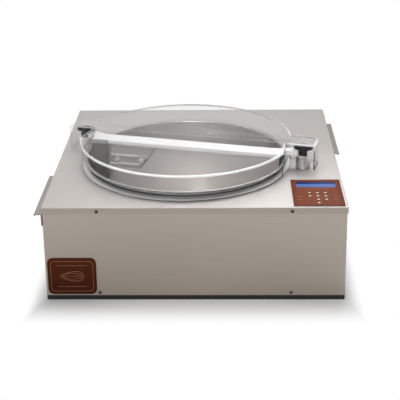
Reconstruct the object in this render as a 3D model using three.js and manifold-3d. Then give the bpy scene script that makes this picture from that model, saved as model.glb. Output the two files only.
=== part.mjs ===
import * as THREE from 'three';
import { mergeVertices } from 'three/addons/utils/BufferGeometryUtils.js';
import Module from 'manifold-3d';

// Countertop chocolate tempering machine: a stainless case with a turning bowl under a clear
// two-piece cover, a baffle clamped across the bowl, and a control panel on the deck.
// Millimetres, +Z up, the front towards -Y. The origin is on the table under the case's middle.

const wasm = await Module();
wasm.setup();

// Fits shared by all pieces
const seatGap = 0.3;
const cutOverrun = 2;
const sheetThickness = 1.5;
const bendRadius = 2.6;

// Case
const caseWidth = 610;
const caseDepth = 610;
const caseHeight = 194;
const footHeight = 10;
const deckFlangeHeight = 13.5;
const panWallHeight = 18;
const rearReturnDepth = 14;

// Rubber feet
const footRadius = 20;
const footTaper = 3;
const footInset = 46;
const footChamfer = 1.5;
const footRecessRadius = 7;
const footRecessDepth = 4;

// Panel screws
const screwHeadRadius = 3.5;
const screwHeadHeight = 2.2;
const screwShankRadius = 1.7;
const screwShankLength = 6;
const screwHoleClearance = 0.4;
const frontScrewInset = 111;
const sideScrewInset = 36;
const deckScrewDrop = 8;
const panScrewRise = 4.5;
const headDomeShare = 0.6;

// Bowl
const bowlAxisLeft = 24;
const bowlAxisForward = 44;
const bowlRimRadius = 224;
const bowlRimRise = 18;
const bowlDepth = 114;
const bowlMouthRadius = 213;
const bowlFloorRadius = 203;
const bowlCornerRadius = 26;
const bowlWall = 1.5;
const rimRollRadius = 3.2;
const deckHoleRadius = 219;

// Clear cover, in two halves that meet over the baffle
const coverRadius = 231;
const coverHeight = 55;
const coverWall = 3;
const coverEdgeRadius = 5;
const coverSideAngle = 11;
const frontCoverEnd = 22;
const frontCoverEndSpan = 433;
const coverSplitGap = 3;
const notchClearance = 3;

// Ears of the rear cover, which reach round the clamp posts
const earFront = 8;
const earBack = 62;
const earMarginRight = 7;
const earMarginLeft = 13;
const earInnerSetback = 9;
const earCornerRadius = 18;

// Baffle: beam, posts, clamp knobs and divider, turned about the bowl's axis
const baffleTurn = 14.4;
const postStandoffRight = 25;
const postStandoffLeft = 11;
const postOffset = 20;
const postRadius = 16;
const postHeight = 29;
const postChamfer = 1.5;
const beamBack = 18;
const beamFront = 20;
const beamThickness = 10;
const beamEndRadius = 213;
const beamTabRadius = 13;
const beamTabRoot = 24;
const beamRound = 3;
const studRadius = 4;
const studClearance = 0.6;
const studEngagement = 16;
const knobWingReach = 21;
const knobWingWidth = 13;
const knobWingCorner = 5.5;
const knobHubRadius = 12;
const knobCollarRadius = 9;
const tabSlotClearance = 0.6;
const knobHeight = 11;
const knobRound = 2.4;
const dividerThickness = 2;
const dividerOffset = 10;
const dividerClearance = 3;
const dividerFlange = 22;
const dividerFlangeSpan = 372;
const dividerScrewSpan = 300;

// Wall scraper and its bracket at the left end of the baffle
const scraperSpan = 37;
const scraperWidth = 33;
const scraperThickness = 8;
const scraperDrop = 59;
const scraperClearance = 1.5;
const bracketSpan = 106;
const bracketGap = 4;
const bracketTop = 24;
const bracketHeight = 50;
const bracketSlant = 39;
const railRise = 10;
const railPitch = 20;
const bracketThickness = 3;
const bracketLip = 6;
const thumbHeadRadius = 7;
const thumbHeadHeight = 6;
const thumbInsetShares = [0.16, 0.69];

// Side grips, bent lips below the deck
const gripLength = 202;
const gripReach = 14;
const gripLegHeight = 26;
const gripThickness = 2;
const gripHem = 4;
const gripLeftSetback = 2;
const gripRightSetback = 336;
const gripRivetInset = 12;

// Badge on the front
const badgeWidth = 99;
const badgeHeight = 80;
const badgeCorner = 11;
const badgeThickness = 1.2;
const badgeSideMargin = 4.5;
const badgeRise = 3.5;
const badgeRimWidth = 2.4;
const badgeRimHeight = 0.4;

// Control panel on the deck's right front corner
const overlayWidth = 102;
const overlayDepth = 137;
const overlayMargin = 5.5;
const overlayThickness = 0.8;
const overlayCorner = 1.5;
const lcdWidth = 80;
const lcdDepth = 30;
const lcdRearMargin = 11;
const lcdClearance = 0.4;
const lcdBodyBorder = 6;
const keyRadius = 4.6;
const keyClearance = 0.35;
const keyProud = 0.7;
const keyDomeRadius = 3.2;
const keyStemRadius = 2.4;
const keyTravelRoom = 0.6;
const keyPitch = 16;
const keyRowPitch = 17;
const keyFrontMargin = 14.5;
const keypadBorder = 5;
const boardThickness = 1.6;
const boardDrop = 13;
const boardBorder = 4;
const switchBody = 6;
const switchHeight = 4.5;
const spacerRadius = 3;
const embed = 0.2;

// Drive under the bowl
const turntableRadius = 140;
const turntableThickness = 5;
const turntableRimHeight = 2;
const turntableRimWidth = 12;
const turntableHoleRadius = 28;
const turntableHoleCount = 6;
const spindleRadius = 9;
const spindleFlangeRadius = 30;
const spindleFlangeThickness = 5;
const spindleLength = 44;
const bearingClearance = 0.3;
const bearingRadius = 22;
const bearingFlangeRadius = 35;
const bearingFlangeThickness = 4;
const bearingBodyHeight = 30;
const gearModule = 3;
const gearTeeth = 48;
const pinionTeeth = 12;
const gearFace = 9;
const gearBacklash = 0.8;
const toothHeightShares = { addendum: 0.85, dedendum: 1.15 };
const toothTipShare = 0.56;
const toothRootShare = 1.34;
const driveBridgeClearance = 0.7;
const driveBridgeWidth = 120;
const driveBridgeThickness = 4;
const driveBridgeFoot = 22;
const motorShaftRadius = 5;
const gearboxSize = 70;
const gearboxHeight = 30;
const gearboxCorner = 10;
const motorRadius = 31;
const motorFloorGap = 3;

// Heater ring round the drive, on a tray with posts
const heaterTubeRadius = 4;
const heaterDrop = 46;
const heaterGapAngle = 34;
const heaterTrayRim = 20;
const heaterTrayClearance = 2.6;
const heaterPostRadius = 7;
const heaterPostCount = 5;
const heaterSaddleDepth = 3;
const heaterSaddleClearance = 1.2;
const sensorRadius = 9;
const sensorFootRadius = 17;
const sensorFootHeight = 4;
const sensorAngle = 118;
const sensorRingRadius = 145;
const sensorBowlGap = 14;
const sensorNoseRadius = 5;
const sensorNoseHeight = 6;

// Rear panel: cooling fan, vents, mains inlet and rocker switch
const fanSize = 60;
const fanDepth = 25;
const fanBore = 28;
const fanInset = 127;
const fanRise = 122;
const fanHubRadius = 13;
const fanBladeCount = 7;
const fanTipClearance = 1;
const fanHubDepth = 18;
const fanBladeThickness = 1.4;
const fanBladePitch = 38;
const fanPinRadius = 2;
const fanPinLength = 4;
const fanSpokeWidth = 4;
const fanPlateThickness = 3;
const guardWire = 1.6;
const guardRingRadii = [6, 15, 24];
const guardBossRadius = 4;
const ventCount = 12;
const ventPitch = 13;
const ventWidth = 5;
const ventHeight = 62;
const ventX = -60;
const ventRise = 112;
const inletWidth = 50;
const inletHeight = 32;
const inletBodyWidth = 30;
const inletBodyHeight = 22;
const inletBodyDepth = 22;
const inletFlange = 2.5;
const inletMouthWidth = 24;
const inletMouthHeight = 16;
const inletMouthDepth = 16;
const inletPinWidth = 2;
const inletPinHeight = 4;
const inletPinLength = 10;
const inletPinPitch = 7;
const inletPinRise = 2;
const inletInset = 67;
const inletRise = 56;
const switchPitch = 54;
const switchWidth = 30;
const switchFaceHeight = 22;
const switchBezel = 2.5;
const switchDepth = 20;
const rockerWidth = 22;
const rockerHeight = 14;
const rockerDepth = 9;
const rockerTilt = 11;
const rockerPinRadius = 1.6;
const rockerPocketClearance = 1;

// Electrics on the pan
const supplyWidth = 110;
const supplyDepth = 78;
const supplyHeight = 42;
const supplyMargin = 24;
const supplyCorner = 3;
const relayWidth = 120;
const relayDepth = 70;
const relayX = 60;
const relayMargin = 20;
const relaySpacerHeight = 8;
const relayHeight = 26;
const relayPartShares = [
  { x: -0.3, y: 0.06, width: 0.28, depth: 0.57, height: 1 },
  { x: 0.05, y: 0.17, width: 0.15, depth: 0.34, height: 0.6 },
  { x: 0.28, y: -0.11, width: 0.23, depth: 0.48, height: 0.77 },
];

// Facet counts
const bowlSteps = 48;
const roundSteps = 16;
const smallSteps = 8;
const guardSteps = 20;
const cornerSteps = 2;
const coverArcSteps = 32;
const cornerArcSteps = 3;

// Places worked out from the sizes above
const deckTop = footHeight + caseHeight;
const deckUnder = deckTop - sheetThickness;
const caseFront = -caseDepth / 2;
const caseRear = caseDepth / 2;
const layer = sheetThickness + seatGap;
const wrapWidth = caseWidth - 2 * layer;
const wrapDepth = caseDepth - 2 * layer;
const wrapTop = deckUnder - seatGap;
const panWidth = wrapWidth - 2 * layer;
const panDepth = wrapDepth - 2 * layer;
const panFloorTop = footHeight + sheetThickness;
const rearPanelWidth = wrapWidth - 2 * layer;
const rearPanelFace = wrapDepth / 2;
const rearPanelBottom = footHeight + panWallHeight + seatGap;
const screwHoleRadius = screwShankRadius + screwHoleClearance;
const bowlX = -bowlAxisLeft;
const bowlY = -bowlAxisForward;
const bowlRimTop = deckTop + bowlRimRise;
const bowlBottom = bowlRimTop - bowlDepth;
const scraperInner = bowlMouthRadius - scraperSpan;
const bracketOuter = scraperInner - bracketGap;
const bracketInner = bracketOuter - bracketSpan;
const turntableTop = bowlBottom - seatGap;
const turntableBottom = turntableTop - turntableRimHeight - turntableThickness;
const spindleTop = turntableBottom - seatGap;
const gearTop = spindleTop - spindleFlangeThickness - seatGap;
const gearBottom = gearTop - gearFace;
const driveBridgeTop = gearBottom - seatGap - bearingFlangeThickness - seatGap;
const driveBridgeBottom = driveBridgeTop - driveBridgeThickness;
const gearPitchRadius = gearModule * gearTeeth / 2;
const pinionPitchRadius = gearModule * pinionTeeth / 2;
const driveOffset = gearPitchRadius + pinionPitchRadius + seatGap;
const driveBridgeLength = 2 * (driveOffset + gearboxSize / 2 + driveBridgeClearance
  + driveBridgeThickness);
const heaterTrayInner = heaterTrayClearance
  + Math.hypot(driveBridgeLength / 2 + driveBridgeFoot, driveBridgeWidth / 2);
const heaterRingRadius = heaterTrayInner + heaterTrayRim;
const postReachRight = coverRadius + postStandoffRight;
const postReachLeft = coverRadius + postStandoffLeft;
const earReachRight = postReachRight + knobWingReach + earMarginRight;
const earReachLeft = postReachLeft + knobWingReach + earMarginLeft;
const earInnerReach = coverRadius - earInnerSetback;
const gripLeftMiddle = caseFront + gripLeftSetback + gripLength / 2;
const gripRightMiddle = caseFront + gripRightSetback + gripLength / 2;
const inletX = inletInset - caseWidth / 2;
const switchX = inletX + switchPitch;
const fanX = caseWidth / 2 - fanInset;
const supplyX = supplyMargin + supplyWidth / 2 - panWidth / 2;
const supplyY = panDepth / 2 - supplyDepth / 2 - supplyMargin;
const relayY = panDepth / 2 - relayDepth / 2 - relayMargin;
const beamBottom = deckTop + postHeight + 2 * seatGap;
const beamTop = beamBottom + beamThickness;
const knobBottom = beamTop + seatGap;
const coverBottom = deckTop + seatGap;
const coverTop = deckTop + coverHeight;
const rad = THREE.MathUtils.degToRad;

// Materials
function finish(color, roughness, metalness, opacity = 1) {
  return new THREE.MeshStandardMaterial({
    color, roughness, metalness, opacity, transparent: opacity < 1,
  });
}
const brushedSteel = finish(0xc9c4bc, 0.36, 1);
const polishedSteel = finish(0xd4d0ca, 0.16, 1);
const zincSteel = finish(0x9fa2a3, 0.45, 1);
const darkScrew = finish(0x3a3733, 0.4, 1);
const clearPlastic = finish(0xe6ebee, 0.06, 0, 0.28);
const whitePlastic = finish(0xf2f0f1, 0.42, 0);
const blackPlastic = finish(0x161617, 0.34, 0);
const greyPlastic = finish(0x5b5752, 0.5, 0);
const rubber = finish(0x1b1b1c, 0.85, 0);
const brownLabel = finish(0x6b2e1d, 0.34, 0);
const badgeBrown = finish(0x55211a, 0.38, 0);
const keyCream = finish(0xd9c7a6, 0.45, 0);
const lcdBlue = finish(0x5a8fe6, 0.2, 0);
const boardGreen = finish(0x1f5a3c, 0.6, 0);
const gearNylon = finish(0xe3ddcc, 0.5, 0);
const castAluminium = finish(0xb2b4b6, 0.5, 1);

// Solids and their geometry
function toSolid(geometry) {
  geometry.deleteAttribute('normal');
  geometry.deleteAttribute('uv');
  const merged = mergeVertices(geometry);
  const index = merged.index.array;
  const kept = [];
  for (let i = 0; i < index.length; i += 3) {
    const [a, b, c] = [index[i], index[i + 1], index[i + 2]];
    if (a !== b && b !== c && c !== a) kept.push(a, b, c);
  }
  return new wasm.Manifold(new wasm.Mesh({
    numProp: 3,
    vertProperties: new Float32Array(merged.attributes.position.array),
    triVerts: new Uint32Array(kept),
  }));
}

function toGeometry(solid) {
  const mesh = solid.getMesh();
  const geometry = new THREE.BufferGeometry();
  geometry.setAttribute('position', new THREE.BufferAttribute(mesh.vertProperties.slice(), 3));
  geometry.setIndex(new THREE.BufferAttribute(mesh.triVerts.slice(), 1));
  geometry.computeVertexNormals();
  return geometry;
}

function joined(solids) {
  return solids.reduce((whole, solid) => whole.add(solid));
}

function cutBy(solid, cutters) {
  return cutters.reduce((whole, cutter) => whole.subtract(cutter), solid);
}

// Outlines, as points that run anticlockwise
function circlePoints(radius, steps, x = 0, y = 0, phase = 0) {
  return Array.from({ length: steps }, (_, i) => {
    const angle = phase + 2 * Math.PI * i / steps;
    return new THREE.Vector2(x + radius * Math.cos(angle), y + radius * Math.sin(angle));
  });
}

function arcPoints(radius, from, to, steps, x = 0, y = 0) {
  return Array.from({ length: steps + 1 }, (_, i) => {
    const angle = rad(from + (to - from) * i / steps);
    return new THREE.Vector2(x + radius * Math.cos(angle), y + radius * Math.sin(angle));
  });
}

function rectPoints(width, depth, radius, x = 0, y = 0) {
  const w = width / 2 - radius;
  const d = depth / 2 - radius;
  return [[w, -d, -90], [w, d, 0], [-w, d, 90], [-w, -d, 180]].flatMap(([cx, cy, start]) => (
    arcPoints(radius, start, start + 90, cornerArcSteps, x + cx, y + cy)));
}

function plainRect(x0, x1, y0, y1) {
  return [[x0, y0], [x1, y0], [x1, y1], [x0, y1]].map(([x, y]) => new THREE.Vector2(x, y));
}

// Each point moved inwards, so that every side moves by the same distance
function inset(points, distance) {
  return points.map((point, i) => {
    const before = points[(i + points.length - 1) % points.length];
    const after = points[(i + 1) % points.length];
    const sideA = point.clone().sub(before).normalize();
    const sideB = after.clone().sub(point).normalize();
    const normalA = new THREE.Vector2(-sideA.y, sideA.x);
    const normalB = new THREE.Vector2(-sideB.y, sideB.x);
    const mitre = normalA.add(normalB).normalize();
    const stretch = 1 / mitre.dot(normalB);
    return point.clone().addScaledVector(mitre, distance * stretch);
  });
}

// Closed solid through outlines of equal point count, listed from the bottom up
function stack(levels) {
  const count = levels[0].points.length;
  const positions = levels.flatMap(({ points, z }) => points.flatMap((p) => [p.x, p.y, z]));
  const index = [];
  for (let level = 0; level < levels.length - 1; level += 1) {
    for (let i = 0; i < count; i += 1) {
      const a = level * count + i;
      const b = level * count + (i + 1) % count;
      index.push(a, b, b + count, a, b + count, a + count);
    }
  }
  const last = (levels.length - 1) * count;
  const bottomFaces = THREE.ShapeUtils.triangulateShape(levels[0].points, []);
  const topFaces = THREE.ShapeUtils.triangulateShape(levels[levels.length - 1].points, []);
  for (const [a, b, c] of bottomFaces) index.push(c, b, a);
  for (const [a, b, c] of topFaces) index.push(last + a, last + b, last + c);
  const geometry = new THREE.BufferGeometry();
  geometry.setAttribute('position', new THREE.Float32BufferAttribute(positions, 3));
  geometry.setIndex(index);
  return toSolid(geometry);
}

function prism(points, low, high) {
  return stack([{ points, z: low }, { points, z: high }]);
}

// Prism whose top edge is rounded
function crowned(points, low, high, radius, steps = cornerSteps) {
  const levels = [{ points, z: low }];
  for (let i = 0; i <= steps; i += 1) {
    const angle = Math.PI / 2 * i / steps;
    levels.push({
      points: inset(points, radius * (1 - Math.cos(angle))),
      z: high - radius * (1 - Math.sin(angle)),
    });
  }
  return stack(levels);
}

function block(x0, x1, y0, y1, z0, z1) {
  return prism(plainRect(x0, x1, y0, y1), z0, z1);
}

function cylinder(radius, low, high, x = 0, y = 0, steps = roundSteps) {
  return prism(circlePoints(radius, steps, x, y), low, high);
}

// Solid turned about the Z axis through (x, y), from [radius, height] pairs
function turned(profile, steps = roundSteps, x = 0, y = 0) {
  const points = profile.map(([radius, height]) => new THREE.Vector2(radius, height));
  const geometry = new THREE.LatheGeometry(points, steps);
  geometry.rotateX(Math.PI / 2);
  geometry.translate(x, y, 0);
  return toSolid(geometry);
}

// A solid made along +Z, turned to point along the given direction, then placed
function aimed(solid, direction, place) {
  const turn = new THREE.Quaternion().setFromUnitVectors(new THREE.Vector3(0, 0, 1), direction);
  const matrix = new THREE.Matrix4().compose(place, turn, new THREE.Vector3(1, 1, 1));
  const geometry = toGeometry(solid);
  geometry.applyMatrix4(matrix);
  return toSolid(geometry);
}

// A plate drawn in X and Z, with its thickness along Y
function upright(points, yLow, yHigh) {
  const geometry = toGeometry(prism(points, -yHigh, -yLow));
  geometry.rotateX(Math.PI / 2);
  return toSolid(geometry);
}

// A profile drawn in X and Z and run along Y, given as [x, z] pairs
function along(profile, yLow, yHigh) {
  return upright(profile.map(([x, z]) => new THREE.Vector2(x, z)), yLow, yHigh);
}

const front = new THREE.Vector3(0, -1, 0);
const rear = new THREE.Vector3(0, 1, 0);
const left = new THREE.Vector3(-1, 0, 0);
const right = new THREE.Vector3(1, 0, 0);

// Scene graph
const machine = new THREE.Group();
const bowlFrame = new THREE.Group();
bowlFrame.position.set(bowlX, bowlY, 0);
machine.add(bowlFrame);
const baffleFrame = new THREE.Group();
baffleFrame.rotation.z = -rad(baffleTurn);
bowlFrame.add(baffleFrame);

function addPart(parent, name, solid, material) {
  const mesh = new THREE.Mesh(toGeometry(solid), material);
  mesh.name = name;
  parent.add(mesh);
}

// A place in the baffle's frame, seen from the machine's frame
function fromBaffle(x, y) {
  const point = new THREE.Vector2(x, y).rotateAround(new THREE.Vector2(), -rad(baffleTurn));
  return point.add(new THREE.Vector2(bowlX, bowlY));
}

// Places of the fasteners on the outer faces of the case: screws in front, rivets elsewhere
function sitesInFront(rise, setback) {
  return [-1, 1].map((end) => (
    { direction: front, place: new THREE.Vector3(end * (caseWidth / 2 - frontScrewInset),
      caseFront + setback, rise) }));
}

function sitesOnSides(rise, setback) {
  return [-1, 1].flatMap((end) => {
    const y = end * (caseDepth / 2 - sideScrewInset);
    return [
      { direction: left, place: new THREE.Vector3(setback - caseWidth / 2, y, rise) },
      { direction: right, place: new THREE.Vector3(caseWidth / 2 - setback, y, rise) },
    ];
  });
}

function sitesBehind(rise) {
  return [-1, 1].map((end) => (
    { direction: rear,
      place: new THREE.Vector3(end * (caseWidth / 2 - frontScrewInset), caseRear, rise) }));
}
const deckFastenerRise = deckTop - deckScrewDrop;
const panFastenerRise = panFloorTop + panScrewRise;
const deckScrewSites = sitesInFront(deckFastenerRise, 0);
const deckRivetSites = [...sitesOnSides(deckFastenerRise, 0), ...sitesBehind(deckFastenerRise)];
const panScrewSites = sitesInFront(panFastenerRise, layer);
const panRivetSites = sitesOnSides(panFastenerRise, layer);

function gripRivetSites() {
  const rise = deckTop - deckFlangeHeight - seatGap - gripLegHeight / 2;
  const reach = wrapWidth / 2 + seatGap + gripThickness;
  return [-1, 0, 1].flatMap((place) => {
    const run = place * (gripLength / 2 - gripRivetInset);
    return [
      { direction: left, place: new THREE.Vector3(-reach, gripLeftMiddle + run, rise) },
      { direction: right, place: new THREE.Vector3(reach, gripRightMiddle + run, rise) },
    ];
  });
}

function screwHoles(sites) {
  const depth = screwShankLength + cutOverrun;
  const hole = cylinder(screwHoleRadius, -depth, cutOverrun, 0, 0, smallSteps);
  return sites.map(({ direction, place }) => aimed(hole, direction, place));
}

// A fastener's shank and domed head; its head starts at the given height over the panel
function fastener(headLow) {
  return turned([
    [0, -screwShankLength],
    [screwShankRadius, -screwShankLength],
    [screwShankRadius, headLow],
    [screwHeadRadius, headLow],
    [screwHeadRadius, screwHeadHeight * headDomeShare],
    [screwHeadRadius * headDomeShare, screwHeadHeight],
    [0, screwHeadHeight],
  ], smallSteps);
}

function screwAt({ direction, place }) {
  return aimed(fastener(seatGap), direction, place);
}

function rivets(sites) {
  return sites.map(({ direction, place }) => aimed(fastener(-embed), direction, place));
}

// Case panels
function basePan() {
  const tray = prism(rectPoints(panWidth, panDepth, bendRadius), footHeight,
    footHeight + panWallHeight);
  const innerWidth = panWidth - 2 * sheetThickness;
  const innerDepth = panDepth - 2 * sheetThickness;
  const hollow = prism(rectPoints(innerWidth, innerDepth, bendRadius - sheetThickness),
    panFloorTop, footHeight + panWallHeight + cutOverrun);
  return cutBy(tray, [hollow, ...screwHoles([...panScrewSites, ...panRivetSites])]);
}

function caseWrap() {
  const outer = prism(rectPoints(wrapWidth, wrapDepth, bendRadius), footHeight, wrapTop);
  const innerWidth = wrapWidth - 2 * sheetThickness;
  const innerDepth = wrapDepth - 2 * sheetThickness;
  const hollow = prism(rectPoints(innerWidth, innerDepth, bendRadius - sheetThickness),
    footHeight - cutOverrun, wrapTop + cutOverrun);
  const openRear = block(-innerWidth / 2, innerWidth / 2, 0, wrapDepth / 2 + cutOverrun,
    footHeight - cutOverrun, wrapTop + cutOverrun);
  const sites = [...deckScrewSites, ...deckRivetSites, ...panScrewSites, ...gripRivetSites()];
  const wrap = cutBy(outer, [hollow, openRear, ...screwHoles(sites)]);
  return joined([wrap, ...rivets(panRivetSites)]);
}

function fanPlace(y) {
  return new THREE.Vector3(fanX, y, footHeight + fanRise);
}

function rearPanel() {
  const half = rearPanelWidth / 2;
  const inner = half - sheetThickness;
  const backFace = rearPanelFace - sheetThickness;
  const frontEdge = rearPanelFace - rearReturnDepth;
  const outline = [
    [half, frontEdge], [half, rearPanelFace], [-half, rearPanelFace], [-half, frontEdge],
    [-inner, frontEdge], [-inner, backFace], [inner, backFace], [inner, frontEdge],
  ].map(([x, y]) => new THREE.Vector2(x, y));
  const panel = prism(outline, rearPanelBottom, wrapTop);
  const slot = rectPoints(ventWidth, ventHeight, ventWidth / 2 - seatGap);
  const vents = Array.from({ length: ventCount }, (_, i) => {
    const x = ventX + (i - (ventCount - 1) / 2) * ventPitch;
    const points = slot.map((p) => new THREE.Vector2(p.x + x, p.y + footHeight + ventRise));
    return upright(points, backFace - cutOverrun, rearPanelFace + cutOverrun);
  });
  const fanHole = aimed(cylinder(fanBore, -layer - cutOverrun, cutOverrun), rear,
    fanPlace(rearPanelFace));
  const windows = [
    [inletX, inletBodyWidth, inletBodyHeight], [switchX, switchWidth, switchFaceHeight],
  ].map(([x, width, height]) => {
    const rise = footHeight + inletRise;
    return block(x - width / 2 - seatGap, x + width / 2 + seatGap, backFace - cutOverrun,
      rearPanelFace + cutOverrun, rise - height / 2 - seatGap, rise + height / 2 + seatGap);
  });
  return cutBy(panel, [...vents, fanHole, ...windows, ...screwHoles(deckRivetSites)]);
}

function overlayPlace() {
  return {
    x: caseWidth / 2 - overlayMargin - overlayWidth / 2,
    y: caseFront + overlayMargin + overlayDepth / 2,
  };
}

function lcdPlace() {
  const { x, y } = overlayPlace();
  return { x, y: y + overlayDepth / 2 - lcdRearMargin - lcdDepth / 2 };
}

// Key columns and rows: three, three, two and one key, from the rear to the front
const keyPattern = [
  { name: 'key_status_left', column: -1, row: 3 },
  { name: 'key_status_middle', column: 0, row: 3 },
  { name: 'key_status_right', column: 1, row: 3 },
  { name: 'key_left', column: -1, row: 2 },
  { name: 'key_up', column: 0, row: 2 },
  { name: 'key_right', column: 1, row: 2 },
  { name: 'key_enter', column: 0, row: 1 },
  { name: 'key_mode', column: 1, row: 1 },
  { name: 'key_down', column: 0, row: 0 },
];

function keyPlace({ column, row }) {
  return {
    x: overlayPlace().x + column * keyPitch,
    y: caseFront + overlayMargin + keyFrontMargin + row * keyRowPitch,
  };
}

function deckCover() {
  const outline = rectPoints(caseWidth, caseDepth, bendRadius);
  const shell = crowned(outline, deckTop - deckFlangeHeight, deckTop, sheetThickness);
  const innerWidth = caseWidth - 2 * sheetThickness;
  const innerDepth = caseDepth - 2 * sheetThickness;
  const hollow = prism(rectPoints(innerWidth, innerDepth, bendRadius - sheetThickness),
    deckTop - deckFlangeHeight - cutOverrun, deckUnder);
  const bowlHole = cylinder(deckHoleRadius, deckUnder - cutOverrun, deckTop + cutOverrun,
    bowlX, bowlY, bowlSteps);
  const lcd = lcdPlace();
  const lcdHole = block(lcd.x - lcdWidth / 2 - 2 * lcdClearance,
    lcd.x + lcdWidth / 2 + 2 * lcdClearance, lcd.y - lcdDepth / 2 - 2 * lcdClearance,
    lcd.y + lcdDepth / 2 + 2 * lcdClearance, deckUnder - cutOverrun, deckTop + cutOverrun);
  const keys = keyPattern.map(keyPlace);
  const reach = keyRadius + keypadBorder;
  const keyHole = block(Math.min(...keys.map((key) => key.x)) - reach,
    Math.max(...keys.map((key) => key.x)) + reach,
    Math.min(...keys.map((key) => key.y)) - reach,
    Math.max(...keys.map((key) => key.y)) + reach, deckUnder - cutOverrun, deckTop + cutOverrun);
  const cover = cutBy(shell, [hollow, bowlHole, lcdHole, keyHole, ...screwHoles(deckScrewSites)]);
  return joined([cover, ...rivets(deckRivetSites)]);
}

function rubberFoot(x, y) {
  const top = footHeight - seatGap;
  return turned([
    [0, footRecessDepth], [footRecessRadius, footRecessDepth], [footRecessRadius, 0],
    [footRadius - footTaper - footChamfer, 0], [footRadius - footTaper, footChamfer],
    [footRadius, top], [0, top],
  ], roundSteps, x, y);
}

// Grip: a leg on the case side, a lip out of its top, and a hem at the lip's edge
function sideGrip(side, middle) {
  const legIn = side * (wrapWidth / 2 + seatGap);
  const legOut = legIn + side * gripThickness;
  const reach = side * (caseWidth / 2 + gripReach);
  const hemIn = reach - side * gripThickness;
  const top = deckTop - deckFlangeHeight - seatGap;
  const under = top - gripThickness;
  const profile = [
    [legIn, top - gripLegHeight], [legOut, top - gripLegHeight], [legOut, under],
    [hemIn, under], [hemIn, top - gripHem], [reach, top - gripHem], [reach, top], [legIn, top],
  ];
  if (side < 0) profile.reverse();
  const bar = along(profile, middle - gripLength / 2, middle + gripLength / 2);
  const sites = gripRivetSites().filter(({ direction }) => direction.x === side);
  return joined([bar, ...rivets(sites)]);
}

function badgePlate() {
  const x = -wrapWidth / 2 + badgeSideMargin + badgeWidth / 2;
  const z = footHeight + badgeRise + badgeHeight / 2;
  const face = -wrapDepth / 2 - seatGap;
  const outline = rectPoints(badgeWidth, badgeHeight, badgeCorner, x, z);
  const plate = upright(outline, face - badgeThickness, face);
  const rim = upright(outline, face - badgeThickness - badgeRimHeight, face - embed);
  const field = upright(inset(outline, badgeRimWidth),
    face - badgeThickness - badgeRimHeight - cutOverrun, face + cutOverrun);
  return plate.add(rim.subtract(field));
}

// Control panel
function controlOverlay() {
  const { x, y } = overlayPlace();
  const low = deckTop + seatGap;
  const high = low + overlayThickness;
  const sheet = prism(rectPoints(overlayWidth, overlayDepth, overlayCorner, x, y), low, high);
  const lcd = lcdPlace();
  const window = block(lcd.x - lcdWidth / 2 - lcdClearance, lcd.x + lcdWidth / 2 + lcdClearance,
    lcd.y - lcdDepth / 2 - lcdClearance, lcd.y + lcdDepth / 2 + lcdClearance,
    low - cutOverrun, high + cutOverrun);
  const holes = keyPattern.map(keyPlace).map((key) => (
    cylinder(keyRadius + keyClearance, low - cutOverrun, high + cutOverrun, key.x, key.y)));
  return cutBy(sheet, [window, ...holes]);
}

const boardTop = deckUnder - boardDrop;
const lcdBottom = boardTop + seatGap;

function lcdModule() {
  const { x, y } = lcdPlace();
  const body = block(x - lcdWidth / 2 - lcdBodyBorder, x + lcdWidth / 2 + lcdBodyBorder,
    y - lcdDepth / 2 - lcdBodyBorder, y + lcdDepth / 2 + lcdBodyBorder,
    lcdBottom, deckUnder - seatGap);
  const glass = block(x - lcdWidth / 2, x + lcdWidth / 2, y - lcdDepth / 2, y + lcdDepth / 2,
    deckUnder - seatGap - embed, deckTop + seatGap + overlayThickness / 2);
  return body.add(glass);
}

function keypadBoard() {
  const { x, y } = overlayPlace();
  const width = overlayWidth - 2 * boardBorder;
  const depth = overlayDepth - 2 * boardBorder;
  const board = prism(rectPoints(width, depth, overlayCorner, x, y),
    boardTop - boardThickness, boardTop);
  const switches = keyPattern.map(keyPlace).map((key) => (
    block(key.x - switchBody / 2, key.x + switchBody / 2, key.y - switchBody / 2,
      key.y + switchBody / 2, boardTop - embed, boardTop + switchHeight)));
  const reach = width / 2 - spacerRadius - boardThickness;
  const rows = [y - depth / 2 + spacerRadius + boardThickness,
    lcdPlace().y - lcdDepth / 2 - lcdBodyBorder - 2 * spacerRadius];
  const spacers = rows.flatMap((row) => [-reach, reach].map((sx) => (
    cylinder(spacerRadius, boardTop - embed, deckUnder - seatGap, x + sx, row, smallSteps))));
  return joined([board, ...switches, ...spacers]);
}

function keyCap(key) {
  const { x, y } = keyPlace(key);
  const capLow = deckTop + seatGap;
  const capTop = capLow + overlayThickness + keyProud;
  return turned([
    [0, boardTop + switchHeight + keyTravelRoom],
    [keyStemRadius, boardTop + switchHeight + keyTravelRoom],
    [keyStemRadius, capLow], [keyRadius, capLow],
    [keyRadius, capTop - keyProud / 2], [keyDomeRadius, capTop], [0, capTop],
  ], roundSteps, x, y);
}

// Bowl: floor corner and sloping wall, as [radius, height] pairs from the floor up
function bowlSide(thickness) {
  const floor = bowlBottom + bowlWall;
  const wallTop = bowlRimTop - bowlWall;
  const slope = Math.atan2(wallTop - floor, bowlMouthRadius - bowlFloorRadius);
  const middle = bowlFloorRadius
    - bowlCornerRadius * (1 - Math.cos(slope)) / Math.sin(slope);
  const corner = arcPoints(bowlCornerRadius + thickness, -90, THREE.MathUtils.radToDeg(slope) - 90,
    cornerArcSteps, middle, floor + bowlCornerRadius).map((p) => [p.x, p.y]);
  const top = [bowlMouthRadius + thickness * Math.sin(slope), wallTop];
  return [...corner, top];
}

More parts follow.
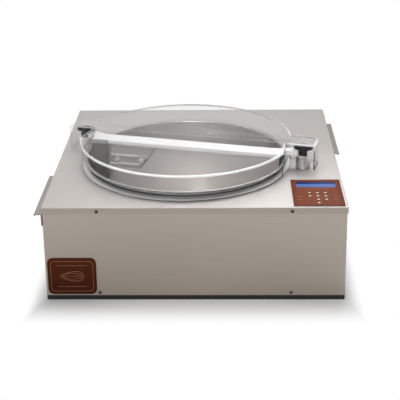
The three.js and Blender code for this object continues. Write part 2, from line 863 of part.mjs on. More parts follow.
function bowl() {
  const rollMiddle = bowlRimRadius - rimRollRadius;
  const rollHeight = bowlRimTop - rimRollRadius;
  const roll = arcPoints(rimRollRadius, -90, 90, cornerArcSteps + 1, rollMiddle, rollHeight);
  const outside = bowlSide(bowlWall);
  const wallTop = outside.pop();
  return turned([
    [0, bowlBottom], ...outside,
    [wallTop[0], bowlRimTop - 2 * bowlWall],
    [rollMiddle - rimRollRadius, bowlRimTop - 2 * bowlWall],
    ...roll.map((p) => [p.x, p.y]),
    [bowlMouthRadius + bowlWall, bowlRimTop],
    ...bowlSide(0).reverse(), [0, bowlBottom + bowlWall],
  ], bowlSteps);
}

// Clear cover. The outline runs round the front half, or round the rear half with its ears
function frontCoverOutline(wall, end) {
  const radius = coverRadius - wall;
  const half = frontCoverEndSpan / 2 - wall;
  const arc = arcPoints(radius, 180 + coverSideAngle, 360 - coverSideAngle, coverArcSteps);
  return [new THREE.Vector2(-half, end), ...arc, new THREE.Vector2(half, end)];
}

function coverTrim(points) {
  return prism(points, coverBottom - cutOverrun, coverTop + cutOverrun);
}

function frontCover() {
  const reach = coverRadius + cutOverrun;
  const beyond = frontCoverEnd + 2 * coverEdgeRadius;
  const shell = crowned(frontCoverOutline(0, beyond), coverBottom, coverTop, coverEdgeRadius);
  const hollow = crowned(frontCoverOutline(coverWall, beyond + cutOverrun),
    coverBottom - cutOverrun, coverTop - coverWall, coverEdgeRadius - coverWall);
  const trim = coverTrim(plainRect(-reach, reach, frontCoverEnd, beyond + 2 * cutOverrun));
  const notchFront = postOffset - beamTabRadius - notchClearance;
  const notch = block(-reach, reach, notchFront, frontCoverEnd + cutOverrun,
    coverBottom - cutOverrun, beamTop + notchClearance);
  // The side walls stand off the bowl's rim where they run in over it
  const reliefFront = -coverRadius * Math.sin(rad(coverSideAngle)) - notchClearance;
  const relief = block(-reach, reach, reliefFront, frontCoverEnd + cutOverrun,
    coverBottom - cutOverrun, bowlRimTop + notchClearance);
  return cutBy(shell, [hollow, trim, notch, relief]);
}

function rearCoverOutline(wall, front) {
  const radius = coverRadius - wall;
  const back = earBack - wall;
  const corner = earCornerRadius - wall;
  const join = THREE.MathUtils.radToDeg(Math.asin(back / radius));
  const outRight = earReachRight - wall;
  const outLeft = earReachLeft - wall;
  return [
    new THREE.Vector2(outRight, front),
    ...arcPoints(corner, 0, 90, cornerArcSteps, outRight - corner, back - corner),
    ...arcPoints(radius, join, 180 - join, coverArcSteps),
    ...arcPoints(corner, 90, 180, cornerArcSteps, corner - outLeft, back - corner),
    new THREE.Vector2(-outLeft, front),
  ];
}

function rearCover() {
  const beyond = earFront - 2 * coverEdgeRadius;
  const shell = crowned(rearCoverOutline(0, beyond), coverBottom, coverTop, coverEdgeRadius);
  const hollow = crowned(rearCoverOutline(coverWall, beyond - cutOverrun),
    coverBottom - cutOverrun, coverTop - coverWall, coverEdgeRadius - coverWall);
  const reach = earReachRight + cutOverrun;
  const earTrim = coverTrim(plainRect(-reach, reach, beyond - 2 * cutOverrun, earFront));
  const splitTrim = coverTrim(plainRect(-earInnerReach, earInnerReach,
    beyond - 2 * cutOverrun, frontCoverEnd + coverSplitGap));
  return cutBy(shell, [hollow, earTrim, splitTrim]);
}

// Baffle posts, knobs, beam and divider
function postSides() {
  return { left: -postReachLeft, right: postReachRight };
}

function clampPost(reach) {
  const low = deckTop + seatGap;
  const top = low + postHeight;
  const bore = studRadius + studClearance;
  const boreFloor = top - studEngagement - 2 * seatGap;
  return turned([
    [0, low], [postRadius, low], [postRadius, top - postChamfer], [postRadius - postChamfer, top],
    [bore, top], [bore, boreFloor], [0, boreFloor],
  ], roundSteps, reach, postOffset);
}

function clampKnob(reach) {
  const wing = rectPoints(2 * knobWingReach, knobWingWidth, knobWingCorner, reach, postOffset);
  const wingLow = knobBottom + knobHeight / 2;
  const wings = crowned(wing, wingLow, knobBottom + knobHeight, knobRound);
  const hub = crowned(circlePoints(knobHubRadius, roundSteps, reach, postOffset),
    knobBottom, knobBottom + knobHeight, knobRound);
  const studLow = beamBottom - seatGap - studEngagement;
  const stud = cylinder(studRadius, studLow, knobBottom + embed, reach, postOffset, smallSteps);
  const collar = cylinder(knobCollarRadius, beamBottom, knobBottom + embed, reach, postOffset);
  return joined([wings, hub, collar, stud]);
}

function beamTab(side, reach) {
  const end = arcPoints(beamTabRadius, -90, 90, 2 * cornerArcSteps, side * reach, postOffset)
    .map((p) => new THREE.Vector2(side * reach + side * (p.x - side * reach), p.y));
  const root = side * (beamEndRadius - beamTabRoot);
  const low = new THREE.Vector2(root, postOffset - beamTabRadius);
  const high = new THREE.Vector2(root, beamBack);
  const points = [low, ...end, high];
  if (side < 0) points.reverse();
  return points;
}

function baffleBeam() {
  const depth = beamBack + beamFront;
  const middle = (beamBack - beamFront) / 2;
  const length = 2 * beamEndRadius + 2 * cutOverrun;
  const plank = crowned(rectPoints(length, depth, 2 * beamRound, 0, middle), beamBottom, beamTop,
    beamRound);
  const disc = cylinder(beamEndRadius, beamBottom - cutOverrun, beamTop + cutOverrun, 0, 0,
    bowlSteps);
  const tabs = [[-1, postReachLeft], [1, postReachRight]].map(([side, reach]) => (
    prism(beamTab(side, reach), beamBottom, beamTop - seatGap)));
  const slot = knobCollarRadius + tabSlotClearance;
  const [slotLow, slotHigh] = [beamBottom - cutOverrun, beamTop + cutOverrun];
  const slots = Object.values(postSides()).flatMap((reach) => [
    cylinder(slot, slotLow, slotHigh, reach, postOffset),
    block(reach - slot, reach + slot, postOffset - beamTabRadius - cutOverrun, postOffset,
      slotLow, slotHigh)]);
  const pilots = dividerScrewSites().map(({ x, y }) => (
    cylinder(screwHoleRadius, beamBottom - cutOverrun, beamBottom + screwShankLength + seatGap,
      x, y, smallSteps)));
  return cutBy(joined([plank.intersect(disc), ...tabs]), [...slots, ...pilots]);
}

// Half width of the bowl's inside at a plane beside the axis, less a clearance
function chord(radius, offset, clearance) {
  return Math.sqrt(radius * radius - offset * offset) - clearance;
}

function dividerPlate() {
  const back = -dividerOffset;
  const frontFace = back - dividerThickness;
  const side = bowlSide(0).map(([radius, height]) => (
    new THREE.Vector2(chord(radius, frontFace, dividerClearance), height)));
  side[0].y += dividerClearance;
  const top = beamBottom - seatGap;
  const last = side[side.length - 1];
  const rightSide = [...side, new THREE.Vector2(last.x, top)];
  const leftSide = rightSide.map((p) => new THREE.Vector2(-p.x, p.y)).reverse();
  const plate = upright([...rightSide, ...leftSide], frontFace, back);
  const flange = block(-dividerFlangeSpan / 2, dividerFlangeSpan / 2, back - embed,
    back + dividerFlange, top - dividerThickness, top);
  const sites = dividerScrewSites();
  const holes = sites.map(({ x, y }) => (
    cylinder(screwHoleRadius, top - 2 * dividerThickness, top + cutOverrun, x, y, smallSteps)));
  return cutBy(plate.add(flange), holes);
}

function dividerScrewSites() {
  return [-1, 1].map((end) => (
    { x: end * dividerScrewSpan / 2, y: -dividerOffset + dividerFlange / 2 }));
}

function dividerScrew({ x, y }) {
  const seat = beamBottom - 2 * seatGap - dividerThickness;
  const shankTop = beamBottom + screwShankLength;
  return turned([
    [0, seat - screwHeadHeight], [screwHeadRadius, seat - screwHeadHeight],
    [screwHeadRadius, seat], [screwShankRadius, seat], [screwShankRadius, shankTop],
    [0, shankTop],
  ], smallSteps, x, y);
}

// Scraper plate: its outer edge follows the bowl's wall
function scraperPlate() {
  const back = -beamFront - seatGap;
  const frontFace = back - scraperThickness;
  const bottom = deckTop - scraperDrop;
  const wall = bowlSide(0).filter(([, height]) => height > bottom);
  const outerEdge = [[chordAt(bottom), bottom], ...wall].map(([radius, height]) => (
    new THREE.Vector2(-chord(radius, frontFace, scraperClearance), height)));
  const last = outerEdge[outerEdge.length - 1];
  const inner = -scraperInner;
  const points = [new THREE.Vector2(inner, bottom), new THREE.Vector2(inner, beamTop),
    new THREE.Vector2(last.x, beamTop), ...outerEdge.reverse()];
  return upright(points, frontFace, back);
}

// The bowl's inside radius at a height, on its sloping wall
function chordAt(height) {
  const side = bowlSide(0);
  const [lowRadius, lowHeight] = side[side.length - 2];
  const [highRadius, highHeight] = side[side.length - 1];
  const share = (height - lowHeight) / (highHeight - lowHeight);
  return lowRadius + (highRadius - lowRadius) * share;
}

function bracketLevels() {
  const top = deckTop + bracketTop;
  return { top, bottom: top - bracketHeight };
}

function scraperBracket() {
  const { top, bottom } = bracketLevels();
  const back = -dividerOffset - dividerThickness - seatGap;
  const face = back - bracketThickness;
  const outline = [[-bracketOuter, bottom], [-bracketInner - bracketSlant, bottom],
    [-bracketInner, top], [-bracketOuter, top]].map(([x, z]) => new THREE.Vector2(x, z));
  const plate = upright(outline, face, back);
  const railEnd = -bracketInner - bracketSlant;
  const rails = [bottom + railRise, bottom + railRise + railPitch].map((low) => (
    block(-bracketOuter, railEnd, face - bracketLip, back - embed, low, low + bracketThickness)));
  return joined([plate, ...rails]);
}

function thumbScrew(share) {
  const { bottom } = bracketLevels();
  const middle = bottom + railRise + (railPitch + bracketThickness) / 2;
  const face = -dividerOffset - dividerThickness - seatGap - bracketThickness - seatGap;
  const knob = turned([
    [0, 0], [thumbHeadRadius, 0], [thumbHeadRadius, thumbHeadHeight * headDomeShare],
    [thumbHeadRadius * headDomeShare, thumbHeadHeight], [0, thumbHeadHeight],
  ], smallSteps);
  return aimed(knob, front, new THREE.Vector3(-bracketOuter + share * bracketSpan, face, middle));
}

// Drive: turntable, spindle, gears and motor
function turntable() {
  const discTop = turntableTop - turntableRimHeight;
  const disc = turned([
    [0, turntableBottom], [turntableRadius, turntableBottom], [turntableRadius, turntableTop],
    [turntableRadius - turntableRimWidth, turntableTop],
    [turntableRadius - turntableRimWidth, discTop], [0, discTop],
  ], bowlSteps);
  const ring = (turntableRadius - turntableRimWidth + spindleFlangeRadius) / 2;
  const holes = circlePoints(ring, turntableHoleCount).map((p) => (
    cylinder(turntableHoleRadius, turntableBottom - cutOverrun, turntableTop, p.x, p.y)));
  return cutBy(disc, holes);
}

function spindle() {
  return turned([
    [0, spindleTop - spindleLength], [spindleRadius, spindleTop - spindleLength],
    [spindleRadius, spindleTop - spindleFlangeThickness],
    [spindleFlangeRadius, spindleTop - spindleFlangeThickness],
    [spindleFlangeRadius, spindleTop], [0, spindleTop],
  ]);
}

// Four points a tooth, with a tooth's middle on the angle of phase
function gearPoints(teeth, phase) {
  const pitch = gearModule * teeth / 2;
  const tip = pitch + toothHeightShares.addendum * gearModule;
  const root = pitch - toothHeightShares.dedendum * gearModule;
  const thickness = Math.PI * gearModule / 2 - gearBacklash;
  const tipHalf = toothTipShare * thickness / 2 / tip;
  const rootHalf = toothRootShare * thickness / 2 / root;
  return Array.from({ length: teeth }, (_, i) => phase + 2 * Math.PI * i / teeth)
    .flatMap((angle) => [
      [root, angle - rootHalf], [tip, angle - tipHalf],
      [tip, angle + tipHalf], [root, angle + rootHalf],
    ])
    .map(([radius, angle]) => new THREE.Vector2(radius, 0).rotateAround(
      new THREE.Vector2(), angle));
}

function turntableGear() {
  const gear = prism(gearPoints(gearTeeth, 0), gearBottom, gearTop);
  return gear.subtract(cylinder(spindleRadius + seatGap, gearBottom - cutOverrun,
    gearTop + cutOverrun));
}

function bearingHousing() {
  const flangeTop = driveBridgeTop + seatGap + bearingFlangeThickness;
  const bottom = flangeTop - bearingBodyHeight;
  const bore = spindleRadius + bearingClearance;
  const flangeLow = driveBridgeTop + seatGap;
  return turned([
    [bore, bottom], [bearingRadius, bottom], [bearingRadius, flangeLow],
    [bearingFlangeRadius, flangeLow], [bearingFlangeRadius, flangeTop], [bore, flangeTop],
    [bore, bottom],
  ]);
}

// Bridge over the pan: a plate bent down into two legs with outward feet
function driveBridge() {
  const half = driveBridgeLength / 2;
  const inner = half - driveBridgeThickness;
  const foot = half + driveBridgeFoot;
  const floor = panFloorTop + seatGap;
  const footTop = floor + driveBridgeThickness;
  const bridge = along([
    [-foot, floor], [-inner, floor], [-inner, driveBridgeBottom], [inner, driveBridgeBottom],
    [inner, floor], [foot, floor], [foot, footTop], [half, footTop], [half, driveBridgeTop],
    [-half, driveBridgeTop], [-half, footTop], [-foot, footTop],
  ], -driveBridgeWidth / 2, driveBridgeWidth / 2);
  const low = driveBridgeBottom - cutOverrun;
  const high = driveBridgeTop + cutOverrun;
  return cutBy(bridge, [
    cylinder(bearingRadius + seatGap, low, high),
    cylinder(2 * motorShaftRadius, low, high, driveOffset),
  ]);
}

function gearMotor() {
  const top = driveBridgeBottom - seatGap;
  const gearboxLow = top - gearboxHeight;
  const gearbox = prism(rectPoints(gearboxSize, gearboxSize, gearboxCorner, driveOffset, 0),
    gearboxLow, top);
  const motor = cylinder(motorRadius, panFloorTop + motorFloorGap, gearboxLow + embed,
    driveOffset);
  const bore = cylinder(motorShaftRadius + bearingClearance, gearboxLow + gearboxHeight / 2,
    top + cutOverrun, driveOffset);
  return gearbox.add(motor).subtract(bore);
}

// Pinion in one piece with its shaft
function drivePinion() {
  const low = driveBridgeBottom - gearboxHeight / 2;
  const shaft = cylinder(motorShaftRadius, low, gearTop - seatGap, driveOffset);
  const points = gearPoints(pinionTeeth, Math.PI / pinionTeeth)
    .map((p) => new THREE.Vector2(p.x + driveOffset, p.y));
  return shaft.add(prism(points, gearBottom, gearTop));
}

// Heater ring, its posts and the sensor under the bowl
const heaterHeight = bowlBottom - heaterDrop;

function heaterElement() {
  const half = rad(heaterGapAngle) / 2;
  const arc = new THREE.Curve();
  arc.getPoint = (share, target = new THREE.Vector3()) => {
    const angle = half + share * (2 * Math.PI - 2 * half) + Math.PI / 2;
    return target.set(heaterRingRadius * Math.cos(angle), heaterRingRadius * Math.sin(angle),
      heaterHeight);
  };
  const section = new THREE.Shape(circlePoints(heaterTubeRadius, smallSteps));
  return toSolid(new THREE.ExtrudeGeometry(section, {
    steps: 2 * roundSteps, extrudePath: arc, bevelEnabled: false,
  }));
}

function heaterTray() {
  const low = panFloorTop + seatGap;
  const high = heaterHeight + heaterSaddleDepth;
  const places = circlePoints(heaterRingRadius, heaterPostCount, 0, 0, -Math.PI / 2);
  const posts = places.map((p) => cylinder(heaterPostRadius, low, high, p.x, p.y, smallSteps));
  const room = heaterTubeRadius + heaterSaddleClearance;
  const groove = turned([
    [heaterRingRadius - room, heaterHeight - room], [heaterRingRadius + room, heaterHeight - room],
    [heaterRingRadius + room, high + cutOverrun], [heaterRingRadius - room, high + cutOverrun],
    [heaterRingRadius - room, heaterHeight - room],
  ], bowlSteps);
  const plateTop = low + sheetThickness;
  const inner = heaterRingRadius - heaterTrayRim;
  const outer = heaterRingRadius + heaterTrayRim;
  const plate = turned([[inner, low], [outer, low], [outer, plateTop], [inner, plateTop],
    [inner, low]], bowlSteps);
  return joined([plate, ...posts]).subtract(groove);
}

function bowlSensor() {
  const low = panFloorTop + seatGap;
  const top = bowlBottom - sensorBowlGap;
  const place = new THREE.Vector2(sensorRingRadius, 0).rotateAround(
    new THREE.Vector2(), rad(sensorAngle));
  return turned([
    [0, low], [sensorFootRadius, low], [sensorFootRadius, low + sensorFootHeight],
    [sensorRadius, low + sensorFootHeight], [sensorRadius, top - sensorNoseHeight],
    [sensorNoseRadius, top - sensorNoseHeight], [sensorNoseRadius, top], [0, top],
  ], roundSteps, place.x, place.y);
}

// Fan on the rear panel, made along +Z and then turned to face the rear
const fanMouth = rearPanelFace - sheetThickness - seatGap;

function fanFrame() {
  const body = prism(rectPoints(fanSize, fanSize, footChamfer * 2), -fanDepth, 0);
  const bore = cylinder(fanBore, fanPlateThickness - fanDepth, cutOverrun);
  const rearPlate = cylinder(fanBore, -fanDepth - cutOverrun, cutOverrun);
  const spokes = [0, Math.PI / 2].map((angle) => {
    const bar = plainRect(-fanBore - embed, fanBore + embed, -fanSpokeWidth / 2,
      fanSpokeWidth / 2).map((p) => p.rotateAround(new THREE.Vector2(), angle));
    return prism(bar, -fanDepth, fanPlateThickness - fanDepth);
  });
  const boss = cylinder(fanHubRadius, -fanDepth, fanPlateThickness - fanDepth);
  const socket = cylinder(fanPinRadius + bearingClearance, -fanDepth - cutOverrun,
    cutOverrun, 0, 0, smallSteps);
  const frame = joined([cutBy(body, [bore, rearPlate]), ...spokes, boss]).subtract(socket);
  return aimed(frame, rear, fanPlace(fanMouth));
}

function fanRotor() {
  const low = fanPlateThickness - fanDepth + seatGap;
  const high = low + fanHubDepth;
  const hub = crowned(circlePoints(fanHubRadius, roundSteps), low, high, footChamfer);
  const pin = cylinder(fanPinRadius, low - fanPinLength, low + embed, 0, 0, smallSteps);
  const reach = fanBore - fanTipClearance;
  const turn = new THREE.Matrix4().makeRotationX(rad(fanBladePitch));
  const lean = new THREE.Matrix4().makeTranslation((reach + fanHubRadius) / 2, 0,
    (low + high) / 2);
  const chordLength = fanHubDepth * headDomeShare + fanHubDepth / 2;
  const bladeRoot = fanHubRadius - 2 * embed - (reach + fanHubRadius) / 2;
  const bladeTip = (reach - fanHubRadius) / 2;
  const blades = Array.from({ length: fanBladeCount }, (_, i) => {
    const geometry = toGeometry(block(bladeRoot, bladeTip, -chordLength / 2, chordLength / 2,
      -fanBladeThickness / 2, fanBladeThickness / 2));
    geometry.applyMatrix4(turn);
    geometry.applyMatrix4(lean);
    geometry.rotateZ(2 * Math.PI * i / fanBladeCount);
    return toSolid(geometry);
  });
  const swept = cylinder(reach, low, high);
  return aimed(joined([hub, pin, joined(blades).intersect(swept)]), rear, fanPlace(fanMouth));
}

function fanGuard() {
  const low = guardWire / 2;
  const high = low + guardWire;
  const rings = guardRingRadii.map((radius) => turned([
    [radius, low], [radius + guardWire, low], [radius + guardWire, high], [radius, high],
    [radius, low],
  ], guardSteps));
  const reach = fanSize / Math.SQRT2 - 2 * guardBossRadius;
  const wires = [1, 3].map((quarter) => {
    const wire = plainRect(-reach, reach, -guardWire / 2, guardWire / 2)
      .map((p) => p.rotateAround(new THREE.Vector2(), quarter * Math.PI / 4));
    return prism(wire, 0, guardWire);
  });
  const bosses = circlePoints(reach, 4, 0, 0, Math.PI / 4).map((p) => (
    cylinder(guardBossRadius, 0, guardWire, p.x, p.y, smallSteps)));
  return aimed(joined([...rings, ...wires, ...bosses]), rear,
    fanPlace(rearPanelFace + seatGap));
}

function mainsInlet() {
  const z = footHeight + inletRise;
  const face = rearPanelFace + seatGap + inletFlange;
  const flange = upright(rectPoints(inletWidth, inletHeight, inletFlange, inletX, z),
    rearPanelFace + seatGap, face);
  const body = block(inletX - inletBodyWidth / 2, inletX + inletBodyWidth / 2,
    face - inletBodyDepth, rearPanelFace + seatGap + embed, z - inletBodyHeight / 2,
    z + inletBodyHeight / 2);
  const mouth = upright(rectPoints(inletMouthWidth, inletMouthHeight, inletFlange, inletX, z),
    face - inletMouthDepth, face + cutOverrun);
  const pins = [[-inletPinPitch, -inletPinRise], [0, inletPinRise], [inletPinPitch, -inletPinRise]]
    .map(([px, pz]) => block(inletX + px - inletPinWidth / 2, inletX + px + inletPinWidth / 2,
      face - inletMouthDepth - embed, face - inletMouthDepth + inletPinLength,
      z + pz - inletPinHeight / 2, z + pz + inletPinHeight / 2));
  return joined([flange.add(body).subtract(mouth), ...pins]);
}

// The rocker's pivot lies just inside the bezel's face
const switchFace = rearPanelFace + seatGap + switchBezel;
const rockerPivotY = switchFace - rockerDepth / 2;

function switchHousing() {
  const z = footHeight + inletRise;
  const bezel = upright(rectPoints(switchWidth + 2 * switchBezel, switchFaceHeight
    + 2 * switchBezel, switchBezel, switchX, z), rearPanelFace + seatGap, switchFace);
  const body = block(switchX - switchWidth / 2, switchX + switchWidth / 2,
    switchFace - switchDepth, rearPanelFace + seatGap + embed, z - switchFaceHeight / 2,
    z + switchFaceHeight / 2);
  const room = rockerPocketClearance;
  const pocket = block(switchX - rockerWidth / 2 - room, switchX + rockerWidth / 2 + room,
    switchFace - rockerDepth - 2 * room, switchFace + cutOverrun,
    z - rockerHeight / 2 - room, z + rockerHeight / 2 + room);
  const bearing = aimed(cylinder(rockerPinRadius + seatGap, -rockerHeight / 2 - 2 * room,
    rockerHeight / 2 + 2 * room, 0, 0, smallSteps), new THREE.Vector3(0, 0, 1),
  new THREE.Vector3(switchX, rockerPivotY, z));
  return cutBy(bezel.add(body), [pocket, bearing]);
}

// Rocker: a shallow V across its face, tilted at rest to one side about a vertical pin
function switchRocker() {
  const z = footHeight + inletRise;
  const half = rockerWidth / 2;
  const rise = rockerDepth / 2;
  const dip = half * Math.tan(rad(rockerTilt));
  const profile = [[-half, -rise / 2], [0, -rise], [half, -rise / 2], [half, rise],
    [0, rise - dip / 2], [-half, rise]].map(([x, y]) => new THREE.Vector2(x, y));
  const turnedProfile = profile.map((p) => p.rotateAround(new THREE.Vector2(), rad(rockerTilt)))
    .map((p) => new THREE.Vector2(p.x + switchX, p.y + rockerPivotY));
  const cap = prism(turnedProfile, z - rockerHeight / 2, z + rockerHeight / 2);
  const pinReach = rockerHeight / 2 + rockerPocketClearance + seatGap;
  const pin = cylinder(rockerPinRadius, z - pinReach, z + pinReach, switchX, rockerPivotY,
    smallSteps);
  return cap.add(pin);
}

// Electrics on the pan floor
function powerSupply() {
  return crowned(rectPoints(supplyWidth, supplyDepth, supplyCorner, supplyX, supplyY),
    panFloorTop + seatGap, panFloorTop + seatGap + supplyHeight, supplyCorner / 2);
}

function relayBoard() {
  const low = panFloorTop + seatGap + relaySpacerHeight;
  const top = low + boardThickness;
  const board = prism(rectPoints(relayWidth, relayDepth, overlayCorner, relayX, relayY), low, top);
  const reachX = relayWidth / 2 - 2 * spacerRadius;
  const reachY = relayDepth / 2 - 2 * spacerRadius;
  const corners = [[reachX, reachY], [reachX, -reachY], [-reachX, reachY], [-reachX, -reachY]];
  const spacers = corners.map(([x, y]) => (
    cylinder(spacerRadius, panFloorTop + seatGap, low + embed, relayX + x, relayY + y,
      smallSteps)));
  const parts = relayPartShares.map((share) => {
    const x = relayX + share.x * relayWidth;
    const y = relayY + share.y * relayDepth;
    const w = share.width * relayWidth / 2;
    const d = share.depth * relayDepth / 2;
    return block(x - w, x + w, y - d, y + d, top - embed, top + share.height * relayHeight);
  });
  return joined([board, ...spacers, ...parts]);
}

// The whole machine
addPart(machine, 'base_pan', basePan(), zincSteel);
addPart(machine, 'case_wrap', caseWrap(), brushedSteel);
addPart(machine, 'rear_panel', rearPanel(), brushedSteel);
addPart(machine, 'deck_cover', deckCover(), brushedSteel);
for (const [yName, yEnd] of [['front', -1], ['rear', 1]]) {
  for (const [xName, xEnd] of [['left', -1], ['right', 1]]) {
    addPart(machine, `foot_${yName}_${xName}`, rubberFoot(xEnd * (caseWidth / 2 - footInset),
      yEnd * (caseDepth / 2 - footInset)), rubber);
  }
}
for (const [i, side] of ['left', 'right'].entries()) {
  addPart(machine, `deck_screw_${side}`, screwAt(deckScrewSites[i]), darkScrew);
  addPart(machine, `pan_screw_${side}`, screwAt(panScrewSites[i]), darkScrew);
}
addPart(machine, 'grip_left', sideGrip(-1, gripLeftMiddle), brushedSteel);
addPart(machine, 'grip_right', sideGrip(1, gripRightMiddle), brushedSteel);
addPart(machine, 'badge_plate', badgePlate(), badgeBrown);

addPart(machine, 'control_overlay', controlOverlay(), brownLabel);
addPart(machine, 'lcd_module', lcdModule(), lcdBlue);
addPart(machine, 'keypad_board', keypadBoard(), boardGreen);
for (const key of keyPattern) addPart(machine, key.name, keyCap(key), keyCream);

addPart(bowlFrame, 'bowl', bowl(), polishedSteel);
addPart(bowlFrame, 'turntable', turntable(), castAluminium);
addPart(bowlFrame, 'spindle', spindle(), zincSteel);
addPart(bowlFrame, 'turntable_gear', turntableGear(), gearNylon);
addPart(bowlFrame, 'bearing_housing', bearingHousing(), castAluminium);
addPart(bowlFrame, 'drive_bridge', driveBridge(), zincSteel);
addPart(bowlFrame, 'gear_motor', gearMotor(), blackPlastic);
addPart(bowlFrame, 'drive_pinion', drivePinion(), gearNylon);
addPart(bowlFrame, 'heater_element', heaterElement(), zincSteel);
addPart(bowlFrame, 'heater_tray', heaterTray(), zincSteel);
addPart(bowlFrame, 'bowl_sensor', bowlSensor(), blackPlastic);

addPart(machine, 'fan_frame', fanFrame(), blackPlastic);
addPart(machine, 'fan_rotor', fanRotor(), blackPlastic);
addPart(machine, 'fan_guard', fanGuard(), polishedSteel);
addPart(machine, 'mains_inlet', mainsInlet(), blackPlastic);
addPart(machine, 'switch_housing', switchHousing(), blackPlastic);
addPart(machine, 'switch_rocker', switchRocker(), blackPlastic);
addPart(machine, 'power_supply', powerSupply(), zincSteel);
addPart(machine, 'relay_board', relayBoard(), boardGreen);

for (const [side, reach] of Object.entries(postSides())) {
  addPart(baffleFrame, `clamp_post_${side}`, clampPost(reach), castAluminium);
  addPart(baffleFrame, `clamp_knob_${side}`, clampKnob(reach), blackPlastic);
}
addPart(baffleFrame, 'baffle_beam', baffleBeam(), whitePlastic);
addPart(baffleFrame, 'divider_plate', dividerPlate(), polishedSteel);
for (const [i, side] of ['left', 'right'].entries()) {
  addPart(baffleFrame, `divider_screw_${side}`, dividerScrew(dividerScrewSites()[i]),
    polishedSteel);
}
addPart(baffleFrame, 'scraper_plate', scraperPlate(), greyPlastic);
addPart(baffleFrame, 'scraper_bracket', scraperBracket(), clearPlastic);
for (const [i, side] of ['left', 'right'].entries()) {
  addPart(baffleFrame, `thumb_screw_${side}`, thumbScrew(thumbInsetShares[i]), polishedSteel);
}
addPart(baffleFrame, 'front_cover', frontCover(), clearPlastic);
addPart(baffleFrame, 'rear_cover', rearCover(), clearPlastic);

export default machine;
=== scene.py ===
import bpy
import bmesh
import math
from mathutils import Matrix, Vector


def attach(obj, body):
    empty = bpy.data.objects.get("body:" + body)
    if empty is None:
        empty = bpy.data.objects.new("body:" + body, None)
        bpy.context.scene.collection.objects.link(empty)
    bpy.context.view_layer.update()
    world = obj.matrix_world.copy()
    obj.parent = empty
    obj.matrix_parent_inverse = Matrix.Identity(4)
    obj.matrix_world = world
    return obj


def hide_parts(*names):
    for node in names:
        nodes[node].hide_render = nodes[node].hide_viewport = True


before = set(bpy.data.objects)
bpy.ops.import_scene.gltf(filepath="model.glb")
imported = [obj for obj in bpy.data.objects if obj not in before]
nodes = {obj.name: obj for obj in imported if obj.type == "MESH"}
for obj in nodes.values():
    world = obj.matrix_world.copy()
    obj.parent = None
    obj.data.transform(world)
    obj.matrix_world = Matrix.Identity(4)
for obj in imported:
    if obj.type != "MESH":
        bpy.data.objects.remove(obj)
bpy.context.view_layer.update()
print("frame loaded:", len(nodes), "nodes")

# Places shared by several pieces, in metres
layout = {
    "bowlAxis": (-0.024, -0.044),
    "baffleTurn": math.radians(-14.4),
    "overlayMiddle": (0.2485, -0.231),
    "badgeMiddle": (-0.2492, -0.3051, 0.0535),
}


# Materials

class Wire:
    # one value in a node tree; sums on wires add Math nodes
    def __init__(self, maker, socket):
        self.maker = maker
        self.socket = socket

    def maths(self, kind, *others):
        values = {i: v for i, v in enumerate((self, *others))}
        return self.maker.node("ShaderNodeMath", values, {"operation": kind})

    def __add__(self, other):
        return self.maths("ADD", other)

    def __radd__(self, other):
        return self.maths("ADD", other)

    def __sub__(self, other):
        return self.maths("SUBTRACT", other)

    def __rsub__(self, other):
        return self.maker.node("ShaderNodeMath", {0: other, 1: self}, {"operation": "SUBTRACT"})

    def __mul__(self, other):
        return self.maths("MULTIPLY", other)

    def __rmul__(self, other):
        return self.maths("MULTIPLY", other)

    def power(self, other):
        return self.maths("POWER", other)

    def above(self, other):
        return self.maths("GREATER_THAN", other)

    def below(self, other):
        return self.maths("LESS_THAN", other)

    def size(self):
        return self.maths("ABSOLUTE")

    def wave(self):
        return self.maths("SINE")


class Finish:
    # a material, or the world, under construction
    def __init__(self, name, owner=None):
        self.material = owner or bpy.data.materials.new(name)
        self.material.use_nodes = True
        self.tree = self.material.node_tree
        self.tree.nodes.clear()

    def node(self, kind, values=None, settings=None, out=0):
        # settings go first, because some of them change which sockets there are
        made = self.tree.nodes.new(kind)
        for key, value in (settings or {}).items():
            setattr(made, key, value)
        for key, value in (values or {}).items():
            if isinstance(value, Wire):
                self.tree.links.new(value.socket, made.inputs[key])
            else:
                made.inputs[key].default_value = value
        return None if out is None else Wire(self, made.outputs[out])

    def outlet(self, wire, name):
        return Wire(self, wire.socket.node.outputs[name])

    def place(self, scale=(1, 1, 1), move=(0, 0, 0)):
        raw = self.node("ShaderNodeTexCoord", out="Object")
        if scale == (1, 1, 1) and move == (0, 0, 0):
            return raw
        return self.node("ShaderNodeMapping", {"Vector": raw, "Location": move, "Scale": scale})

    def axes(self, middle=(0, 0, 0)):
        # x, y and z counted from a middle
        spot = self.place(move=tuple(-v for v in middle))
        split = self.node("ShaderNodeSeparateXYZ", {"Vector": spot})
        return [self.outlet(split, i) for i in range(3)]

    def noise(self, scale, stretch=(1, 1, 1), detail=3.0, vector=None):
        where = vector or self.place(scale=stretch)
        return self.node("ShaderNodeTexNoise",
                         {"Vector": where, "Scale": scale, "Detail": detail})

    def mix(self, share, first, second):
        # blends two colours, each a wire or three numbers
        first, second = [c if isinstance(c, Wire) else (*c, 1) for c in (first, second)]
        return self.node("ShaderNodeMix", {0: share, 6: first, 7: second},
                         {"data_type": "RGBA"}, out=2)

    def smooth(self, value, low, high):
        return self.node("ShaderNodeMapRange", {0: value, 1: low, 2: high, 3: 0.0, 4: 1.0},
                         {"interpolation_type": "SMOOTHSTEP"})

    def bump(self, height, strength, distance):
        return self.node("ShaderNodeBump",
                         {"Height": height, "Strength": strength, "Distance": distance})

    def close(self, sockets):
        shader = self.node("ShaderNodeBsdfPrincipled", sockets)
        self.node("ShaderNodeOutputMaterial", {"Surface": shader}, out=None)
        return self.material


